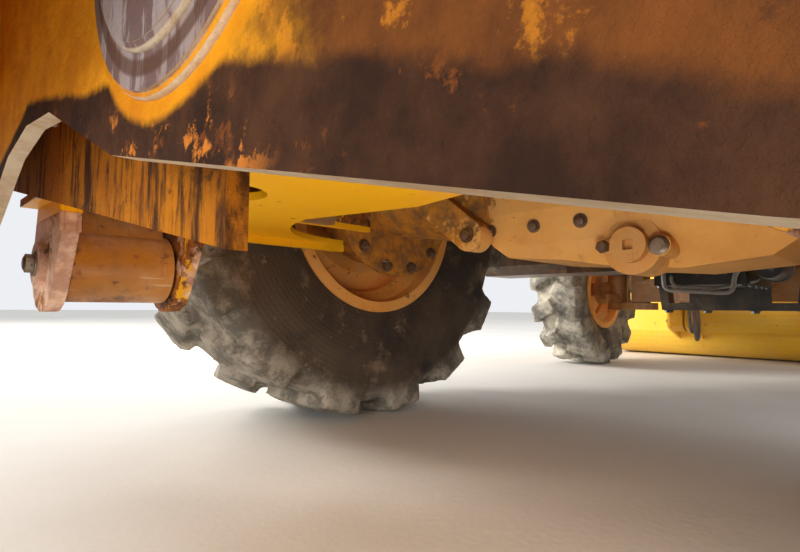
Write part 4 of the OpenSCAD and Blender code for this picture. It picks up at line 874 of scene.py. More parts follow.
def make_wheel_fittings():
    """Wheel nuts, hub caps and valve stems, and the bolts of the rear wheels' final drives."""
    inner_ring = []
    for side, word in NAMED_SIDES:
        out = (0, side, 0)
        front_face = at(FRONT_HUB[0], side * 0.958, FRONT_HUB[1])
        inner_face = at(0, side * 0.545, HUB_Z)
        inner_ring += circle_spots(inner_face, (0, -side, 0), 0.215, 12, 0.0145, math.radians(15))
        nuts = circle_spots(at(0, side * 0.798, HUB_Z), out, 0.095, 8, 0.015)
        fasteners("wheel_nuts_rear_" + word, "wheel_rear_" + word, nuts, height=0.9, thread=0.9)
        nuts = circle_spots(front_face, out, 0.066, 6, 0.012)
        fasteners("wheel_nuts_front_" + word, "wheel_front_" + word, nuts, height=0.9, thread=0.9)
        cap = Form().lathe([(r, h + 0.052) for r, h in HUB_CAP], at(0, side * 0.83, HUB_Z), out, 36)
        cap.piece("hub_cap_rear_" + word, "chassis", TANKS, "worn_paint")
        cap = Form().lathe([(r * 0.72, h * 0.62 + 0.022) for r, h in HUB_CAP], front_face, out, 30)
        cap.piece("hub_cap_front_" + word, "knuckle_" + word, TANKS, "worn_paint")
        stem = Form().bar([at(0.270, side * y, HUB_Z + 0.02) for y in (0.80, 0.90)], 0.01, 0.004, 8)
        stem.piece("valve_stem_" + word, "wheel_rear_" + word, SEAL, "tyre")
    fasteners("final_drive_bolts", "chassis", inner_ring, TANKS)


def make_axle_fittings():
    """Bolts round the rear axle's covers, its level and filler plugs, and its brake pipe."""
    cover = []
    for ahead, rows in ((-1, (-0.505, -0.395, -0.165, -0.06, 0.05)),
                        (1, (-0.505, -0.395, -0.265, -0.165, -0.06, 0.05))):
        cover += [(at(ahead * 0.199, y, 0.528), (ahead, 0, -0.2), 0.011) for y in rows]
    cover += [(at(-0.252, y, z), (-1, 0, 0), 0.013) for y, z in ((0.225, 0.63), (0.078, 0.515))]
    for side in SIDES:
        cover += circle_spots(at(0, side * 0.716, HUB_Z), (0, side, 0), 0.165, 10, 0.009)
    fasteners("axle_cover_bolts", "chassis", cover, TANKS)
    back = (-1, 0, 0)
    plug = Form().lathe([(0.0125, 0), (0.0125, 0.012), (0.009, 0.016)], at(-0.206, -0.215, 0.47), back, 6)
    plug.lathe([(0.018, 0), (0.018, 0.006), (0.012, 0.010)], at(-0.206, -0.315, 0.466), back, 20)
    plug.piece("axle_plugs", "chassis", STEEL, "worn_paint")
    line = [at(-0.16, 0.14, 0.74), at(-0.225, 0.10, 0.70), at(-0.225, -0.30, 0.66), at(-0.21, -0.52, 0.72)]
    brake = Form().bar(line, 0.03, 0.005, 8)
    for y in (-0.05, -0.25):
        brake.block(at(-0.214, y, 0.682 + (y + 0.05) * 0.1), (0.020, 0.022, 0.018), 0.003)
    brake.piece("brake_pipe", "chassis", PIPE, "black_paint")


# Pin ends

# For each body: ((x, z) of the pin, distance of its end face from the middle, the pin's radius)
PIN_ENDS = {
    "chassis": [((1.300, 1.550), 0.661, 0.028), ((1.250, 0.780), 0.661, 0.024)],
    "loader_bucket": [((2.930, 0.270), 0.661, 0.025)],
    "swing_post": [((-1.700, 0.850), 0.130, 0.026), ((-1.530, 1.110), 0.130, 0.024)],
    "boom": [((-1.370, 2.260), 0.084, 0.020), ((-1.660, 3.200), 0.100, 0.026)],
    "dipper": [((-2.549, 1.930), 0.118, 0.022), ((-2.343, 2.225), 0.094, 0.018),
               ((-1.974, 3.188), 0.068, 0.016)],
}


def make_pin_ends():
    """A keeper washer and its bolt on the ends of each hinge pin, and a grease nipple beside it."""
    for body, pins in PIN_ENDS.items():
        spots = []
        plates = Form()
        for (x, z), reach, radius in pins:
            for side in SIDES:
                face = at(x, side * reach, z)
                keeper = [(radius, -0.001), (radius, 0.004), (radius * 0.86, 0.006)]
                plates.lathe(keeper, face, (0, side, 0), 28)
                spots.append((face + Vector((0, side * 0.006, 0)), (0, side, 0), radius * 0.42))
                nipple = face + Vector((radius * 0.66, side * 0.005, radius * 0.2))
                plates.lathe([(0.003, 0), (0.003, 0.005), (0.0018, 0.009)], nipple, (0, side, 0), 8)
        fasteners("pin_bolts_" + body, body, spots)
        plates.piece("pin_keepers_" + body, body, STEEL, "worn_paint")
    cap = [(0.052, 0), (0.052, 0.010), (0.044, 0.014), (0.018, 0.014)]
    Form().lathe(cap, at(-1.42, 0, 1.05), UP).piece("swing_pin_cap", "swing_post", STEEL, "worn_paint")
    bolts = []
    for rows, z, reach, size in ((LEG_PIN_Y, 0.425, 0.134, 0.017), (LEG_TOP_Y, 1.45, 0.081, 0.013)):
        bolts += [(at(LEG_X + way * reach, y, z), (way, 0, 0), size) for y in rows for way in (-1, 1)]
    fasteners("stabilizer_pin_bolts", "chassis", bolts)


# Pipes and hoses

def clamp(form, centre, size, turn=None):
    """The block that holds a pair or a row of pipes."""
    form.block(centre, size, 0.003, turn)


def make_hose(name, body, points, diameter, finish):
    """A hydraulic hose with crimped ferrules."""
    path = smooth_path(points, 0.015)
    hose = Form().tube(path, diameter / 2, 12).piece(name, body, finish, "black_paint", 60)
    ferrule = [(0.72, -0.014), (0.72, 0.0), (0.62, 0.002), (0.62, 0.030), (0.54, 0.034)]
    ends = Form()
    for here, inward in ((path[0], path[2]), (path[-1], path[-3])):
        ends.lathe([(diameter * wide, height) for wide, height in ferrule], here,
                   (inward - here).normalized(), 12)
    fittings = ends.piece(name + "_ferrules", body, STEEL, "black_paint")
    tuple(path[0])
    length_of(path)
    [tuple(p) for p in path]


def clamped_pipes(name, body, pipes, clamps, bolts, bolt_name):
    """The three pieces of a run of pipes: the pipes, their clamps and the clamps' bolts."""
    pipes.piece(name + "_pipes", body, PIPE, "black_paint")
    clamps.piece(name + "_pipe_clamps", body, CYLINDER, "black_paint")
    fasteners(bolt_name, body, bolts)


# On the boom: (x, z) of its pipes' route and of their clamps, and the left hose's route
BOOM_ROUTE = [(-1.715, 1.16), (-1.715, 1.5), (-1.672, 2.05), (-1.655, 2.62), (-1.625, 2.86)]
BOOM_CLAMPS = ((-1.691, 1.35), (-1.655, 1.78), (-1.634, 2.30), (-1.612, 2.74))
BOOM_HOSE = [(-1.56, 0.116, 2.90), (-1.47, 0.128, 2.86), (-1.425, 0.125, 2.72), (-1.41, 0.110, 2.52),
             (-1.405, 0.100, 2.40), (-1.40, 0.084, 2.312)]


def make_boom_pipes():
    pipes = Form()
    clamps = Form()
    spots = []
    for side in SIDES:
        for gap in (0.0, 0.024, 0.048):
            pipes.bar([at(x + gap, side * 0.110, z) for x, z in BOOM_ROUTE], 0.06, 0.008)
        for x, z in BOOM_CLAMPS:
            clamp(clamps, at(x, side * 0.112, z), (0.086, 0.026, 0.030))
            spots += [(at(x + shift, side * 0.124, z), (0, side, 0), 0.006) for shift in (-0.034, 0.034)]
        clamp(clamps, at(-1.691, side * 0.116, 1.14), (0.110, 0.034, 0.060))
        clamp(clamps, at(-1.600, side * 0.116, 2.885), (0.110, 0.034, 0.055))
    clamped_pipes("boom", "boom", pipes, clamps, spots, "boom_clamp_bolts")
    for side, word in NAMED_SIDES:
        make_hose("boom_hose_" + word, "boom", [at(x, side * y, z) for x, y, z in BOOM_HOSE], 0.022, HOSE)


# Cosine and sine of the dipper's lean of 55 degrees at rest
DIPPER_RUN_RISE = (0.5736, 0.8192)


def on_dipper(along, out, y):
    """A point measured from the dipper's end towards the boom, and out to its rear side."""
    run, rise = DIPPER_RUN_RISE
    return at(-2.549 + run * along - rise * out, y, 1.930 + rise * along + run * out)


def make_dipper_pipes():
    pipes = Form()
    clamps = Form()
    spots = []
    lean = Matrix.Rotation(math.radians(35), 4, "Y")
    for side in SIDES:
        for out in (0.02, 0.045):
            pipes.tube([on_dipper(a, out, side * 0.083) for a in (1.50, 1.1, 0.70)], 0.007)
        for along in (1.42, 1.05, 0.76):
            clamp(clamps, on_dipper(along, 0.0325, side * 0.084), (0.070, 0.022, 0.028), lean)
            spots += [(on_dipper(along, out, side * 0.094), (0, side, 0), 0.005) for out in (0.062, 0.003)]
    clamped_pipes("dipper", "dipper", pipes, clamps, spots, "dipper_clamp_bolts")


# (x, z) of the route of the pipes along each loader arm
ARM_ROUTE = [(1.40, 1.565), (1.62, 1.505), (2.00, 1.395), (2.28, 1.300), (2.47, 1.17), (2.60, 0.99),
             (2.74, 0.74), (2.855, 0.47)]
# Each clamp on a loader arm: x, z and its lean in degrees
ARM_CLAMPS = ((1.55, 1.53, 16), (2.0, 1.40, 16), (2.36, 1.255, 40), (2.66, 0.90, 61), (2.83, 0.53, 65))


def bucket_hose_route(side, number, drop, y):
    """From the upper block down behind the bucket and up to the lower block."""
    top = at(2.735, side * 0.501, 0.555 - 0.03 * number)
    end = at(2.820, side * 0.501, 0.400 + 0.02 * number)
    hanging = [(2.705, 0.46), (2.700, 0.32), (2.722, drop + 0.055), (2.755, drop + 0.03),
               (2.787, drop + 0.06), (2.805, 0.29)]
    middle = [at(x, side * y, z) for x, z in hanging]
    return [top, at(2.725, side * (y + 0.018), 0.535)] + middle + [at(2.815, side * (y + 0.016), 0.375), end]


def make_loader_pipes():
    pipes = Form()
    clamps = Form()
    spots = []
    for side in SIDES:
        for shift in (0.0, 0.022):
            route = [at(x + shift * 0.6, side * 0.634, z + shift * 0.8) for x, z in ARM_ROUTE]
            pipes.bar(route, 0.05, 0.0075)
        for x, z, lean in ARM_CLAMPS:
            turn = Matrix.Rotation(math.radians(lean), 4, "Y")
            clamp(clamps, at(x + 0.007, side * 0.635, z + 0.008), (0.026, 0.022, 0.066), turn)
            spots.append((at(x + 0.007, side * 0.646, z + 0.008), (0, side, 0), 0.006))
    # Blocks of the hoses' ends, inside the arms above the bucket
    for side in SIDES:
        clamp(clamps, at(2.735, side * 0.523, 0.560), (0.060, 0.044, 0.090))
        clamp(clamps, at(2.820, side * 0.523, 0.400), (0.050, 0.044, 0.070))
    clamped_pipes("loader", "loader_arms", pipes, clamps, spots, "loader_clamp_bolts")
    for side, word in NAMED_SIDES:
        for number, (drop, y) in enumerate(((0.17, 0.455), (0.12, 0.425))):
            route = bucket_hose_route(side, number, drop, y)
            make_hose("bucket_hose_%s_%d" % (word, number), "loader_arms", route, 0.020, GREY_HOSE)


def mirrored(point):
    """A point on the left, and the one like it on the right."""
    return [Vector((point[0], side * point[1], point[2])) for side in SIDES]


# Each cylinder's barrel node: its bottom pins, its rod's pins, its radius and the side that the pipe is on
BARRELS = {
    "lift_barrels": (mirrored((1.250, 0.585, 0.780)), mirrored((2.150, 0.585, 1.180)), 0.042, UP),
    "tilt_barrels": (mirrored((1.560, 0.463, 1.440)), mirrored((2.320, 0.463, 1.306)), 0.036, UP),
    "boom_barrel": ([(-1.530, 0, 1.110)], [(-1.455, 0, 1.975)], 0.046, (1, 0, 0)),
    "dipper_barrel": ([(-1.370, 0, 2.260)], [(-1.547, 0, 3.510)], 0.042, (1, 0, 0)),
    "bucket_barrel": ([(-1.974, 0, 3.188)], [(-2.72, 0, 2.41)], 0.038, (-1, 0, 1)),
    "leg_barrel_left": ([(LEG_X, 0.250, 1.450)], [(LEG_X, 0.525, 0.792)], 0.040, (0, 1, 0.3)),
    "leg_barrel_right": ([(LEG_X, -0.450, 1.450)], [(LEG_X, -0.725, 0.792)], 0.040, (0, -1, 0.3)),
}


def make_barrel_pipes():
    """Port bosses and the steel pipe along each cylinder."""
    for name, (bottoms, tops, radius, out) in BARRELS.items():
        form = Form()
        for start, end in zip(bottoms, tops):
            start = at(*start)
            along = (at(*end) - start).normalized()
            across = (Vector(out) - along * Vector(out).dot(along)).normalized()
            near = [v.co for v in NODES[name].data.vertices if (v.co.y - start.y) ** 2 < 0.02]
            reach = max((v - start).dot(along) for v in near) - 0.055
            for spot in (0.085, reach):
                foot = start + along * spot + across * (radius - 0.004)
                form.lathe([(0.015, 0), (0.015, 0.014), (0.010, 0.018)], foot, across, 16)
            lift = across * (radius + 0.018)
            pipe = [start + along * reach + across * radius, start + along * reach + lift,
                    start + along * 0.16 + lift, start + along * 0.13 + across * (radius - 0.002)]
            form.bar(pipe, 0.012, 0.006)
        form.piece(name + "_pipe", name, PIPE, "black_paint")


def make_sump_pipes():
    """The grey guard pipe round the sump and the one under it."""
    pipes = Form()
    for radius, route in (
            (0.009, [(1.17, 0.125, 0.56), (1.17, 0.120, 0.435), (1.17, -0.130, 0.418), (1.17, -0.140, 0.50),
                     (1.18, -0.215, 0.56), (1.18, -0.215, 0.66)]),
            (0.007, [(1.195, 0.10, 0.60), (1.185, 0.095, 0.452), (1.185, -0.07, 0.438),
                     (1.30, -0.19, 0.47), (1.45, -0.20, 0.56)])):
        pipes.bar([at(*point) for point in route], 0.03, radius, 12)
    pipes.piece("sump_pipes", "chassis", PIPE, "black_paint")


def make_starter():
    body = Form()
    body.lathe([(0.024, 0), (0.046, 0.012), (0.050, 0.03), (0.050, 0.17), (0.056, 0.175), (0.056, 0.20),
                (0.044, 0.21), (0.030, 0.25), (0.014, 0.26)], at(1.18, -0.245, 0.520), (1, 0, 0), 28)
    body.lathe([(0.020, 0), (0.020, 0.16), (0.012, 0.168)], at(1.20, -0.245, 0.585), (1, 0, 0), 20)
    body.block(at(1.30, -0.245, 0.575), (0.05, 0.05, 0.09), 0.008)
    body.block(at(1.36, -0.215, 0.60), (0.06, 0.10, 0.12), 0.01)
    body.piece("starter_body", "chassis", CYLINDER, "black_paint")


def make_engine_bolts():
    spots = [(at(x, side * 0.158, 0.455), DOWN, 0.009)
             for side in SIDES for x in (1.23, 1.35, 1.47, 1.59, 1.67)]
    spots += [(at(x, y, 0.350), DOWN, 0.013) for x in (1.71, 1.76) for y in (-0.28, -0.10, 0.10, 0.28)]
    spots += [(at(1.185, y, 0.500), (-1, 0, 0), 0.010) for y in (-0.10, 0.0, 0.10)]
    spots += [(at(x, y, 0.56), DOWN, 0.011) for x in (0.66, 0.80, 0.95, 1.10) for y in (-0.18, 0.18)]
    fasteners("engine_bolts", "chassis", spots, CYLINDER)
    drain = Form().lathe([(0.020, 0), (0.020, 0.006), (0.013, 0.008), (0.013, 0.020)], at(1.45, 0.02, 0.455),
                         DOWN, 6)
    drain.piece("drain_plug", "chassis", STEEL, "black_paint")


# Each hose beside the engine: its diameter, and its route from the rear axle
ENGINE_HOSES = {
    "engine_hose_low": (0.026, [(1.175, -0.236, 0.665), (1.155, -0.262, 0.650), (1.115, -0.272, 0.600),
                                (1.065, -0.268, 0.560), (1.01, -0.25, 0.555), (0.975, -0.225, 0.580),
                                (0.960, -0.206, 0.605)]),
    "engine_hose_high": (0.022, [(1.42, -0.236, 0.68), (1.425, -0.268, 0.665), (1.40, -0.295, 0.63),
                                 (1.34, -0.312, 0.615), (1.25, -0.312, 0.635), (1.20, -0.29, 0.675),
                                 (1.19, -0.238, 0.70)]),
}


def make_engine_fittings():
    make_sump_pipes()
    make_starter()
    make_engine_bolts()
    for name, (diameter, route) in ENGINE_HOSES.items():
        make_hose(name, "chassis", [at(*point) for point in route], diameter, HOSE)


# Welded seams

def make_weld_seams():
    """Seams on the rear frame, the bucket and the boom."""
    frame_paths = [
        [at(-1.001, 0.42, 0.5335), at(-1.001, 0.06, 0.5335), at(-1.001, -0.29, 0.5335)],
        [at(-1.016, 0.520, z) for z in (1.10, 0.64)], [at(-1.016, -0.520, z) for z in (1.10, 0.64)],
    ]
    for side in SIDES:
        low = 0.475 if side > 0 else 0.525
        frame_paths += [[at(x, side * 0.373, z) for z in (0.535, low)] for x in (-0.972, -0.946, -0.728)]
        for radius, x in ((0.128, -1.086), (0.104, -1.092)):
            frame_paths.append([at(x, side * DISC_Y + radius * math.cos(a), DISC_Z + radius * math.sin(a))
                                for a in (math.tau * k / 48 for k in range(49))])
    weld_seams("rear_frame_welds", "chassis", frame_paths, REAR_FRAME, 0.0045)
    hinges = [[at(x, side * y, z) for x, z in ((3.118, 0.36), (3.106, 0.28), (3.128, 0.14))]
              for side in SIDES for y in (0.517, 0.537, 0.633, 0.653)]
    hinges += [[at(3.03, side * 0.478, 0.20), at(3.10, side * 0.478, 0.14)] for side in SIDES]
    weld_seams("bucket_welds", "loader_bucket", hinges, BUCKET_YELLOW_PAINTED_SUN, 0.006)
    edge = ((-1.602, 1.10), (-1.584, 1.50), (-1.554, 1.93))
    seams = [[at(x, side * 0.1005, z) for x, z in edge] for side in SIDES]
    weld_seams("boom_welds", "boom", seams, YELLOW, 0.0035)


# Cab

def pane_seal(form, corners, radius, bend=0.05):
    """A rubber seal round a pane's edge."""
    corners = [Vector(c) for c in corners]
    path = []
    for before, here, after in zip(corners[-1:] + corners[:-1], corners, corners[1:] + corners[:1]):
        path += bend_points(before, here, after, bend, 4)
    form.tube(path, radius, 8, closed=True)


def upright(low, high):
    """The corners of an upright pane, from its lowest and its highest corner."""
    return [at(*low), at(high[0], high[1], low[2]), at(*high), at(low[0], low[1], high[2])]


def make_window_seals():
    seals = Form()
    for x, low in ((1.034, 1.668), (-0.727, 1.628)):
        pane_seal(seals, upright((x, -0.652, low), (x, 0.652, 2.722)), 0.010)
    for side in SIDES:
        y = side * 0.707
        pane_seal(seals, upright((-0.672, y, 1.588), (0.192, y, 2.722)), 0.010)
    seals.piece("window_seals", "chassis", SEAL, "black_paint", 60)
    for side, word in NAMED_SIDES:
        door = Form()
        y = side * 0.701
        pane_seal(door, upright((0.324, y, 1.576), (0.916, y, 2.664)), 0.009)
        pane_seal(door, upright((0.784, y, 1.126), (0.916, y, 1.454)), 0.008, 0.03)
        door.piece("door_seals_" + word, "door_" + word, SEAL, "black_paint", 60)


def make_wipers():
    wiper = Form()
    beside = Vector((0, 0.02, 0))
    for x, way, outward, foot, tip in ((1.044, 1, 0.010, (0.0, 1.69), (0.24, 2.18)),
                                       (-0.746, -1, -0.006, (0.0, 2.70), (0.22, 2.30))):
        base = at(x, *foot)
        end = at(x + outward, *tip)
        run = (end - base).normalized()
        wiper.lathe([(0.022, -0.004), (0.022, 0.004), (0.015, 0.010)], base, (way, 0, 0), 20)
        wiper.tube([base, end], 0.0055, 8)
        wiper.tube([end - run * 0.26 + beside, end + run * 0.22 + beside], 0.006, 8)
    wiper.piece("wipers", "chassis", TRIM, "black_paint")


def make_grab_rails():
    rails = Form()
    for side in SIDES:
        for x, near, far, low, high, radius, sides in ((-0.71, 0.718, 0.758, 1.70, 2.25, 0.012, 12),
                                                       (1.12, 0.37, 0.42, 1.24, 1.44, 0.009, 10)):
            corners = [at(x, side * near, low), at(x, side * far, low), at(x, side * far, high),
                       at(x, side * near, high)]
            rails.bar(corners, 0.03, radius, sides)
    rails.piece("grab_rails", "chassis", TRIM, "black_paint")


def make_steps():
    """Studs on the steps, the fuel cap and the catches of the tool box."""
    studs = [(at(0.82 + 0.04 * i, side * (0.815 + 0.022 * j), z), UP, 0.0055)
             for side in SIDES for z in (0.55, 0.78) for i in range(6) for j in range(4)]
    fasteners("step_studs", "chassis", studs, TANKS, height=0.3, washer=1.1)
    profile = [(0.045, 0), (0.045, 0.012), (0.050, 0.014), (0.050, 0.036), (0.044, 0.042), (0.02, 0.044)]
    cap = Form().lathe(profile, at(0.88, 0.80, 0.88), (0, 1, 0), 24)
    cap.piece("fuel_cap", "chassis", TRIM, "black_paint")
    box = Form()
    box.block(at(0.92, -0.803, 0.94), (0.09, 0.014, 0.022), 0.003)
    for x in (0.85, 0.99):
        box.block(at(x, -0.803, 0.66), (0.05, 0.014, 0.030), 0.003)
    box.piece("tool_box_catches", "chassis", STEEL, "black_paint")


def make_roof_trim():
    gutter = Form()
    edge = [(1.10, 0.725), (1.10, -0.725), (-0.82, -0.725), (-0.82, 0.725)]
    pane_seal(gutter, [at(x, y, 2.852) for x, y in edge], 0.008, 0.03)
    gutter.piece("roof_gutter", "chassis", SEAL, "black_paint", 60)
    spots = [(at(x, side * 0.60, 2.899), UP, 0.010) for side in SIDES for x in (-0.70, 0.0, 0.60, 0.98)]
    posts = ((1.01, (1.2, 1.9, 2.6)), (-0.71, (1.56, 2.6)), (0.23, (1.6, 2.6)))
    spots += [(at(x, side * 0.721, z), (0, side, 0), 0.008)
              for side in SIDES for x, rows in posts for z in rows]
    fasteners("cab_bolts", "chassis", spots, CAB_YELLOW)


def make_fender_edges():
    flaps = Form()
    radius = 0.799
    first, last = 38.5, 141.5
    count = 28
    angles = [math.radians(first + (last - first) * k / count) for k in range(count + 1)]
    for side in SIDES:
        arc = [at(radius * math.cos(a), side * 1.075, HUB_Z + radius * math.sin(a)) for a in angles]
        flaps.tube(arc, 0.010, 8)
    flaps.piece("fender_edges", "chassis", SEAL, "black_paint", 60)


def make_cab_fittings():
    make_window_seals()
    make_wipers()
    make_grab_rails()
    make_steps()
    make_roof_trim()
    make_fender_edges()


def make_work_lamps():
    """Work lamps under the roof's ends, head lamps on the grille, and the beacon."""
    housings = Form()
    lenses = Form()
    for side in SIDES:
        y = side * 0.49
        for x, way in ((1.155, 1), (-0.875, -1)):
            housings.block(at(x, y, 2.840), (0.052, 0.136, 0.084), 0.012)
            housings.block(at(x - way * 0.03, y, 2.80), (0.05, 0.04, 0.016), 0.004)
            housings.lathe([(0.007, -0.03), (0.007, 0.012)], at(x, y, 2.80), DOWN, 10)
            lenses.block(at(x + way * 0.0262, y, 2.842), (0.008, 0.116, 0.064), 0.0035)
        face = at(2.582, side * 0.32, 1.18)
        housings.lathe([(0.05, -0.004), (0.057, 0.0), (0.057, 0.018), (0.051, 0.026)], face, (1, 0, 0), 36)
        lenses.lathe([(0.046, 0.02), (0.046, 0.027), (0.036, 0.0305), (0.016, 0.032)], face, (1, 0, 0), 32)
    foot = [(0.058, 0), (0.058, 0.018), (0.050, 0.024), (0.048, 0.036), (0.020, 0.038)]
    housings.lathe(foot, at(*BEACON), UP, 36)
    housings.piece("lamp_housings", "chassis", TRIM, "black_paint", replaced=("lamps",))
    lenses.piece("lamp_lenses", "chassis", CLEAR_LENS, "lamp_lens")
    dome = [(0.046, 0.034), (0.050, 0.036), (0.050, 0.044), (0.046, 0.047), (0.045, 0.090), (0.040, 0.106),
            (0.028, 0.116), (0.010, 0.120)]
    beacon = Form().lathe(dome, at(*BEACON), UP, 36)
    beacon.piece("beacon_dome", "chassis", AMBER_LENS, "lamp_lens")


def make_rear_lamps():
    boxes = Form()
    red = Form()
    amber = Form()
    for side in SIDES:
        boxes.block(at(-0.626, side * 0.985, 1.155), (0.040, 0.150, 0.075), 0.010)
        red.block(at(-0.646, side * 1.012, 1.155), (0.010, 0.070, 0.056), 0.004)
        amber.block(at(-0.646, side * 0.945, 1.155), (0.010, 0.052, 0.056), 0.004)
    boxes.piece("rear_lamp_boxes", "chassis", TRIM, "black_paint")
    red.piece("rear_lamp_lenses", "chassis", RED_LENS, "lamp_lens")
    amber.piece("turn_lamp_lenses", "chassis", AMBER_LENS, "lamp_lens")


def make_mirrors():
    heads = Form()
    silver = Form()
    for side in SIDES:
        arm = [at(1.030, side * 0.720, 2.358), at(1.030, side * 0.925, 2.358), at(1.022, side * 0.925, 2.30)]
        heads.bar(arm, 0.03, 0.009, 12)
        heads.block(at(1.022, side * 0.930, 2.240), (0.026, 0.160, 0.220), 0.012)
        silver.block(at(1.0095, side * 0.930, 2.240), (0.003, 0.140, 0.198), 0.0012)
    heads.piece("mirror_heads", "chassis", TRIM, "black_paint", replaced=("mirrors",))
    silver.piece("mirror_faces", "chassis", MIRROR, "glass")


def make_hood_fittings():
    parts = Form()
    for side in SIDES:
        for x in (1.24, 2.42):
            parts.block(at(x, side * 0.390, 1.08), (0.030, 0.014, 0.070), 0.005)
            parts.block(at(x, side * 0.394, 1.05), (0.045, 0.012, 0.016), 0.004)
    seam = ((-0.37, 1.05), (-0.375, 1.598), (0.375, 1.598), (0.37, 1.05))
    parts.bar([at(1.112, y, z) for y, z in seam], 0.02, 0.008, 8)
    parts.piece("hood_latches", "chassis", SEAL, "black_paint")


def make_exhaust_fittings():
    """Clamps round the exhaust, and the bars of the guard in front of it."""
    clamps = Form()
    band = [(0.060, 0), (0.066, 0.003), (0.066, 0.017), (0.060, 0.020)]
    for z in (1.565, 1.798):
        clamps.lathe(band, at(EXHAUST_X, EXHAUST_Y, z), UP, 40)
    collar = [(0.030, 0), (0.038, 0.002), (0.038, 0.026), (0.030, 0.028)]
    clamps.lathe(collar, at(EXHAUST_X, EXHAUST_Y, 1.83), UP, 32)
    clamps.block(at(EXHAUST_X, -0.242, 1.844), (0.018, 0.030, 0.022), 0.003)
    clamps.piece("exhaust_clamps", "chassis", EXHAUST, "exhaust_steel")
    guards = Form()
    reach = 0.072
    for k in range(7):
        x = 1.868 + 0.0105 * k
        y = EXHAUST_Y - math.sqrt(reach ** 2 - (x - EXHAUST_X) ** 2)
        guards.tube([at(x, y, 1.60), at(x, y, 1.77)], 0.0028, 6)
    guards.piece("exhaust_guard", "chassis", EXHAUST, "exhaust_steel")


# Seat

# The pads' squareness, how far their sides are drawn in between the corners, and their sewn channels
PAD_SQUARENESS = 7.0
PAD_DRAWN_IN = (0.030, 0.024)
CHANNEL_DEPTH = 0.010
CHANNEL_WIDTH = 0.035


def squareness(*unit):
    return sum(abs(value) ** PAD_SQUARENESS for value in unit) ** (1 / PAD_SQUARENESS)


def drawn_in(u, v, half):
    """Where (u, v), each from -1 to 1, lies on a pad of that half size."""
    return (u * half[0] * (1 - PAD_DRAWN_IN[0] * (1 - v * v)),
            v * half[1] * (1 - PAD_DRAWN_IN[1] * (1 - u * u)))


def cushion(name, centre, half, crown, channels=(), lean=0.0, replaced=()):
    """A stuffed pad and its piping: a rounded box that bulges on its face, with channels sewn across it."""
    turn = Matrix.Translation(centre) @ Matrix.Rotation(math.radians(lean), 4, "Y")
    solid = bmesh.new()
    bmesh.ops.create_cube(solid, size=2.0)
    bmesh.ops.subdivide_edges(solid, edges=solid.edges[:], cuts=44, use_grid_fill=True)
    for vertex in solid.verts:
        size = squareness(*vertex.co)
        u, v, w = (value / size for value in vertex.co)
        x, y = drawn_in(u, v, half)
        z = w * half[2] + (crown * (1 - u * u) * (1 - v * v) if w > 0 else 0.0)
        if w > 0.3:
            z -= (1 - abs(v) ** 8) * sum(CHANNEL_DEPTH * math.exp(-((u - c) / CHANNEL_WIDTH) ** 2)
                                         for c in channels)
            z += 0.0016 * math.sin(9 * u + 4 * v) * math.sin(7 * v - 3 * u)
        vertex.co = turn @ Vector((x, y, z))
    bmesh.ops.recalc_face_normals(solid, faces=solid.faces)
    mesh = bpy.data.meshes.new(name)
    solid.to_mesh(mesh)
    solid.free()
    dressed(name, mesh, "chassis", VINYL, 80, replaced)
    ring = []
    for k in range(72):
        a = math.tau * k / 72
        grown = 0.985 / squareness(math.cos(a), math.sin(a))
        edge = drawn_in(math.cos(a) * grown, math.sin(a) * grown, half)
        ring.append(turn @ Vector((*edge, half[2] * 0.62)))
    Form().tube(ring, 0.0045, 8, closed=True).piece(name + "_piping", "chassis", SEAL, "seat_vinyl", 60)


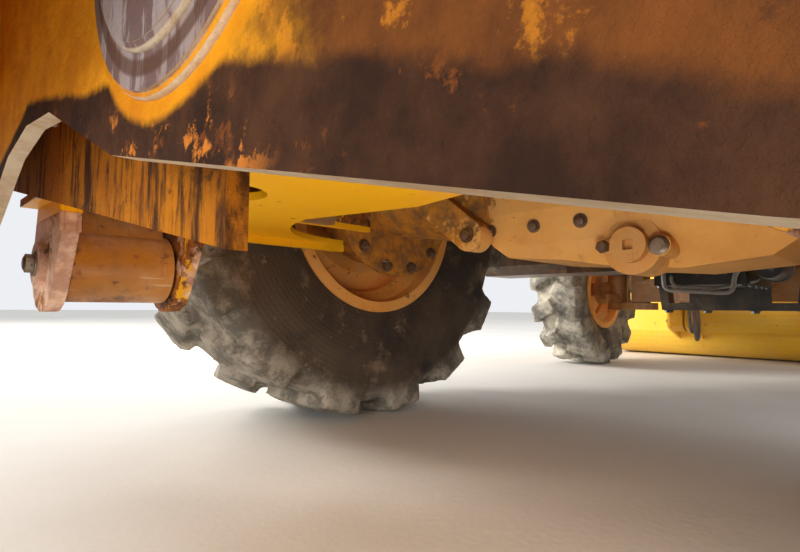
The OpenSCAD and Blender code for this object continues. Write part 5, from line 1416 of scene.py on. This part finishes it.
def make_seat():
    cushion("seat_cushion", at(0.05, 0, 1.292), (0.245, 0.250, 0.056), 0.020, (-0.45, 0.0, 0.45),
            replaced=("seat",))
    cushion("seat_back", at(-0.172, 0, 1.625), (0.250, 0.236, 0.050), 0.018, (-0.5, -0.1, 0.3), 82.0)
    for side, word in NAMED_SIDES:
        cushion("arm_pad_" + word, at(0.015, side * 0.290, 1.438), (0.160, 0.032, 0.020), 0.004)
    base = Form()
    # Folds of the suspension's bellows
    for k in range(6):
        length, width = ((0.36, 0.38), (0.34, 0.36))[k % 2]
        base.block(at(0.05, 0, 1.052 + 0.026 * k), (length, width, 0.024), 0.008)
    base.block(at(0.05, 0, 1.038), (0.36, 0.40, 0.016), 0.004)
    base.block(at(0.05, 0, 1.215), (0.40, 0.42, 0.030), 0.006)
    base.block(at(-0.185, 0, 1.30), (0.030, 0.30, 0.16), 0.008)
    for side in SIDES:
        post = ((0.22, 1.225), (0.268, 1.225), (0.268, 1.42))
        base.bar([at(0.01, side * y, z) for y, z in post], 0.03, 0.011)
        knob = [(0.020, 0), (0.020, 0.012), (0.012, 0.014)]
        base.lathe(knob, at(0.01, side * 0.262, 1.30), (0, side, 0), 16)
    base.piece("seat_base", "chassis", TRIM, "black_paint")
    buckles = Form()
    for side in SIDES:
        buckles.block(at(-0.06, side * 0.272, 1.36), (0.028, 0.014, 0.060), 0.004)
    buckles.piece("seat_belt_buckles", "chassis", RED_LENS, "seat_vinyl")


make_worn_tyres()
make_wheel_fittings()
make_axle_fittings()
make_pin_ends()
make_boom_pipes()
make_dipper_pipes()
make_loader_pipes()
make_barrel_pipes()
make_engine_fittings()
make_weld_seams()
make_cab_fittings()
make_work_lamps()
make_rear_lamps()
make_mirrors()
make_hood_fittings()
make_exhaust_fittings()
make_seat()


# Floor and light

def make_floor():
    reach = 40.0
    corners = [(-reach, -reach, 0), (reach, -reach, 0), (reach, reach, 0), (-reach, reach, 0)]
    mesh = bpy.data.meshes.new("floor")
    mesh.from_pydata(corners, [], [(0, 1, 2, 3)])
    floor = bpy.data.objects.new("floor", mesh)
    bpy.context.scene.collection.objects.link(floor)
    mesh.materials.append(floor_finish("pale_floor"))


def make_light(name, place, target, size, power, color=(1, 1, 1)):
    """A square lamp aimed at its target, its power in watts."""
    lamp = bpy.data.lights.new(name, "AREA")
    lamp.size = size
    lamp.energy = power
    lamp.color = color
    holder = bpy.data.objects.new(name, lamp)
    holder.location = place
    holder.rotation_euler = (Vector(target) - Vector(place)).to_track_quat("-Z", "Y").to_euler()
    bpy.context.scene.collection.objects.link(holder)


def make_world():
    world = bpy.data.worlds.new("studio")
    world.use_nodes = True
    background = world.node_tree.nodes["Background"]
    background.inputs["Color"].default_value = (0.94, 0.96, 1.0, 1.0)
    background.inputs["Strength"].default_value = 0.9
    bpy.context.scene.world = world


make_floor()
make_world()
WARM = (1.0, 0.97, 0.92)
make_light("sun_side", (-5, 9, 6), (0, 0, 0.8), 4.0, 1000, WARM)
make_light("front_fill", (9, -5, 6), (0, 0, 0.8), 6.0, 520)
make_light("low_fill", (-6.5, -2.5, 0.9), (0.5, 0.2, 0.5), 2.0, 200)
make_light("yard_bounce", (0.3, 4.2, 0.9), (3.0, 0.4, 0.6), 1.6, 130, WARM)
make_light("ground_bounce", at(-0.85, -0.5, 0.09), at(-0.1, 0.2, 0.5), 0.2, 2, WARM)
bpy.context.scene.view_settings.view_transform = "Standard"
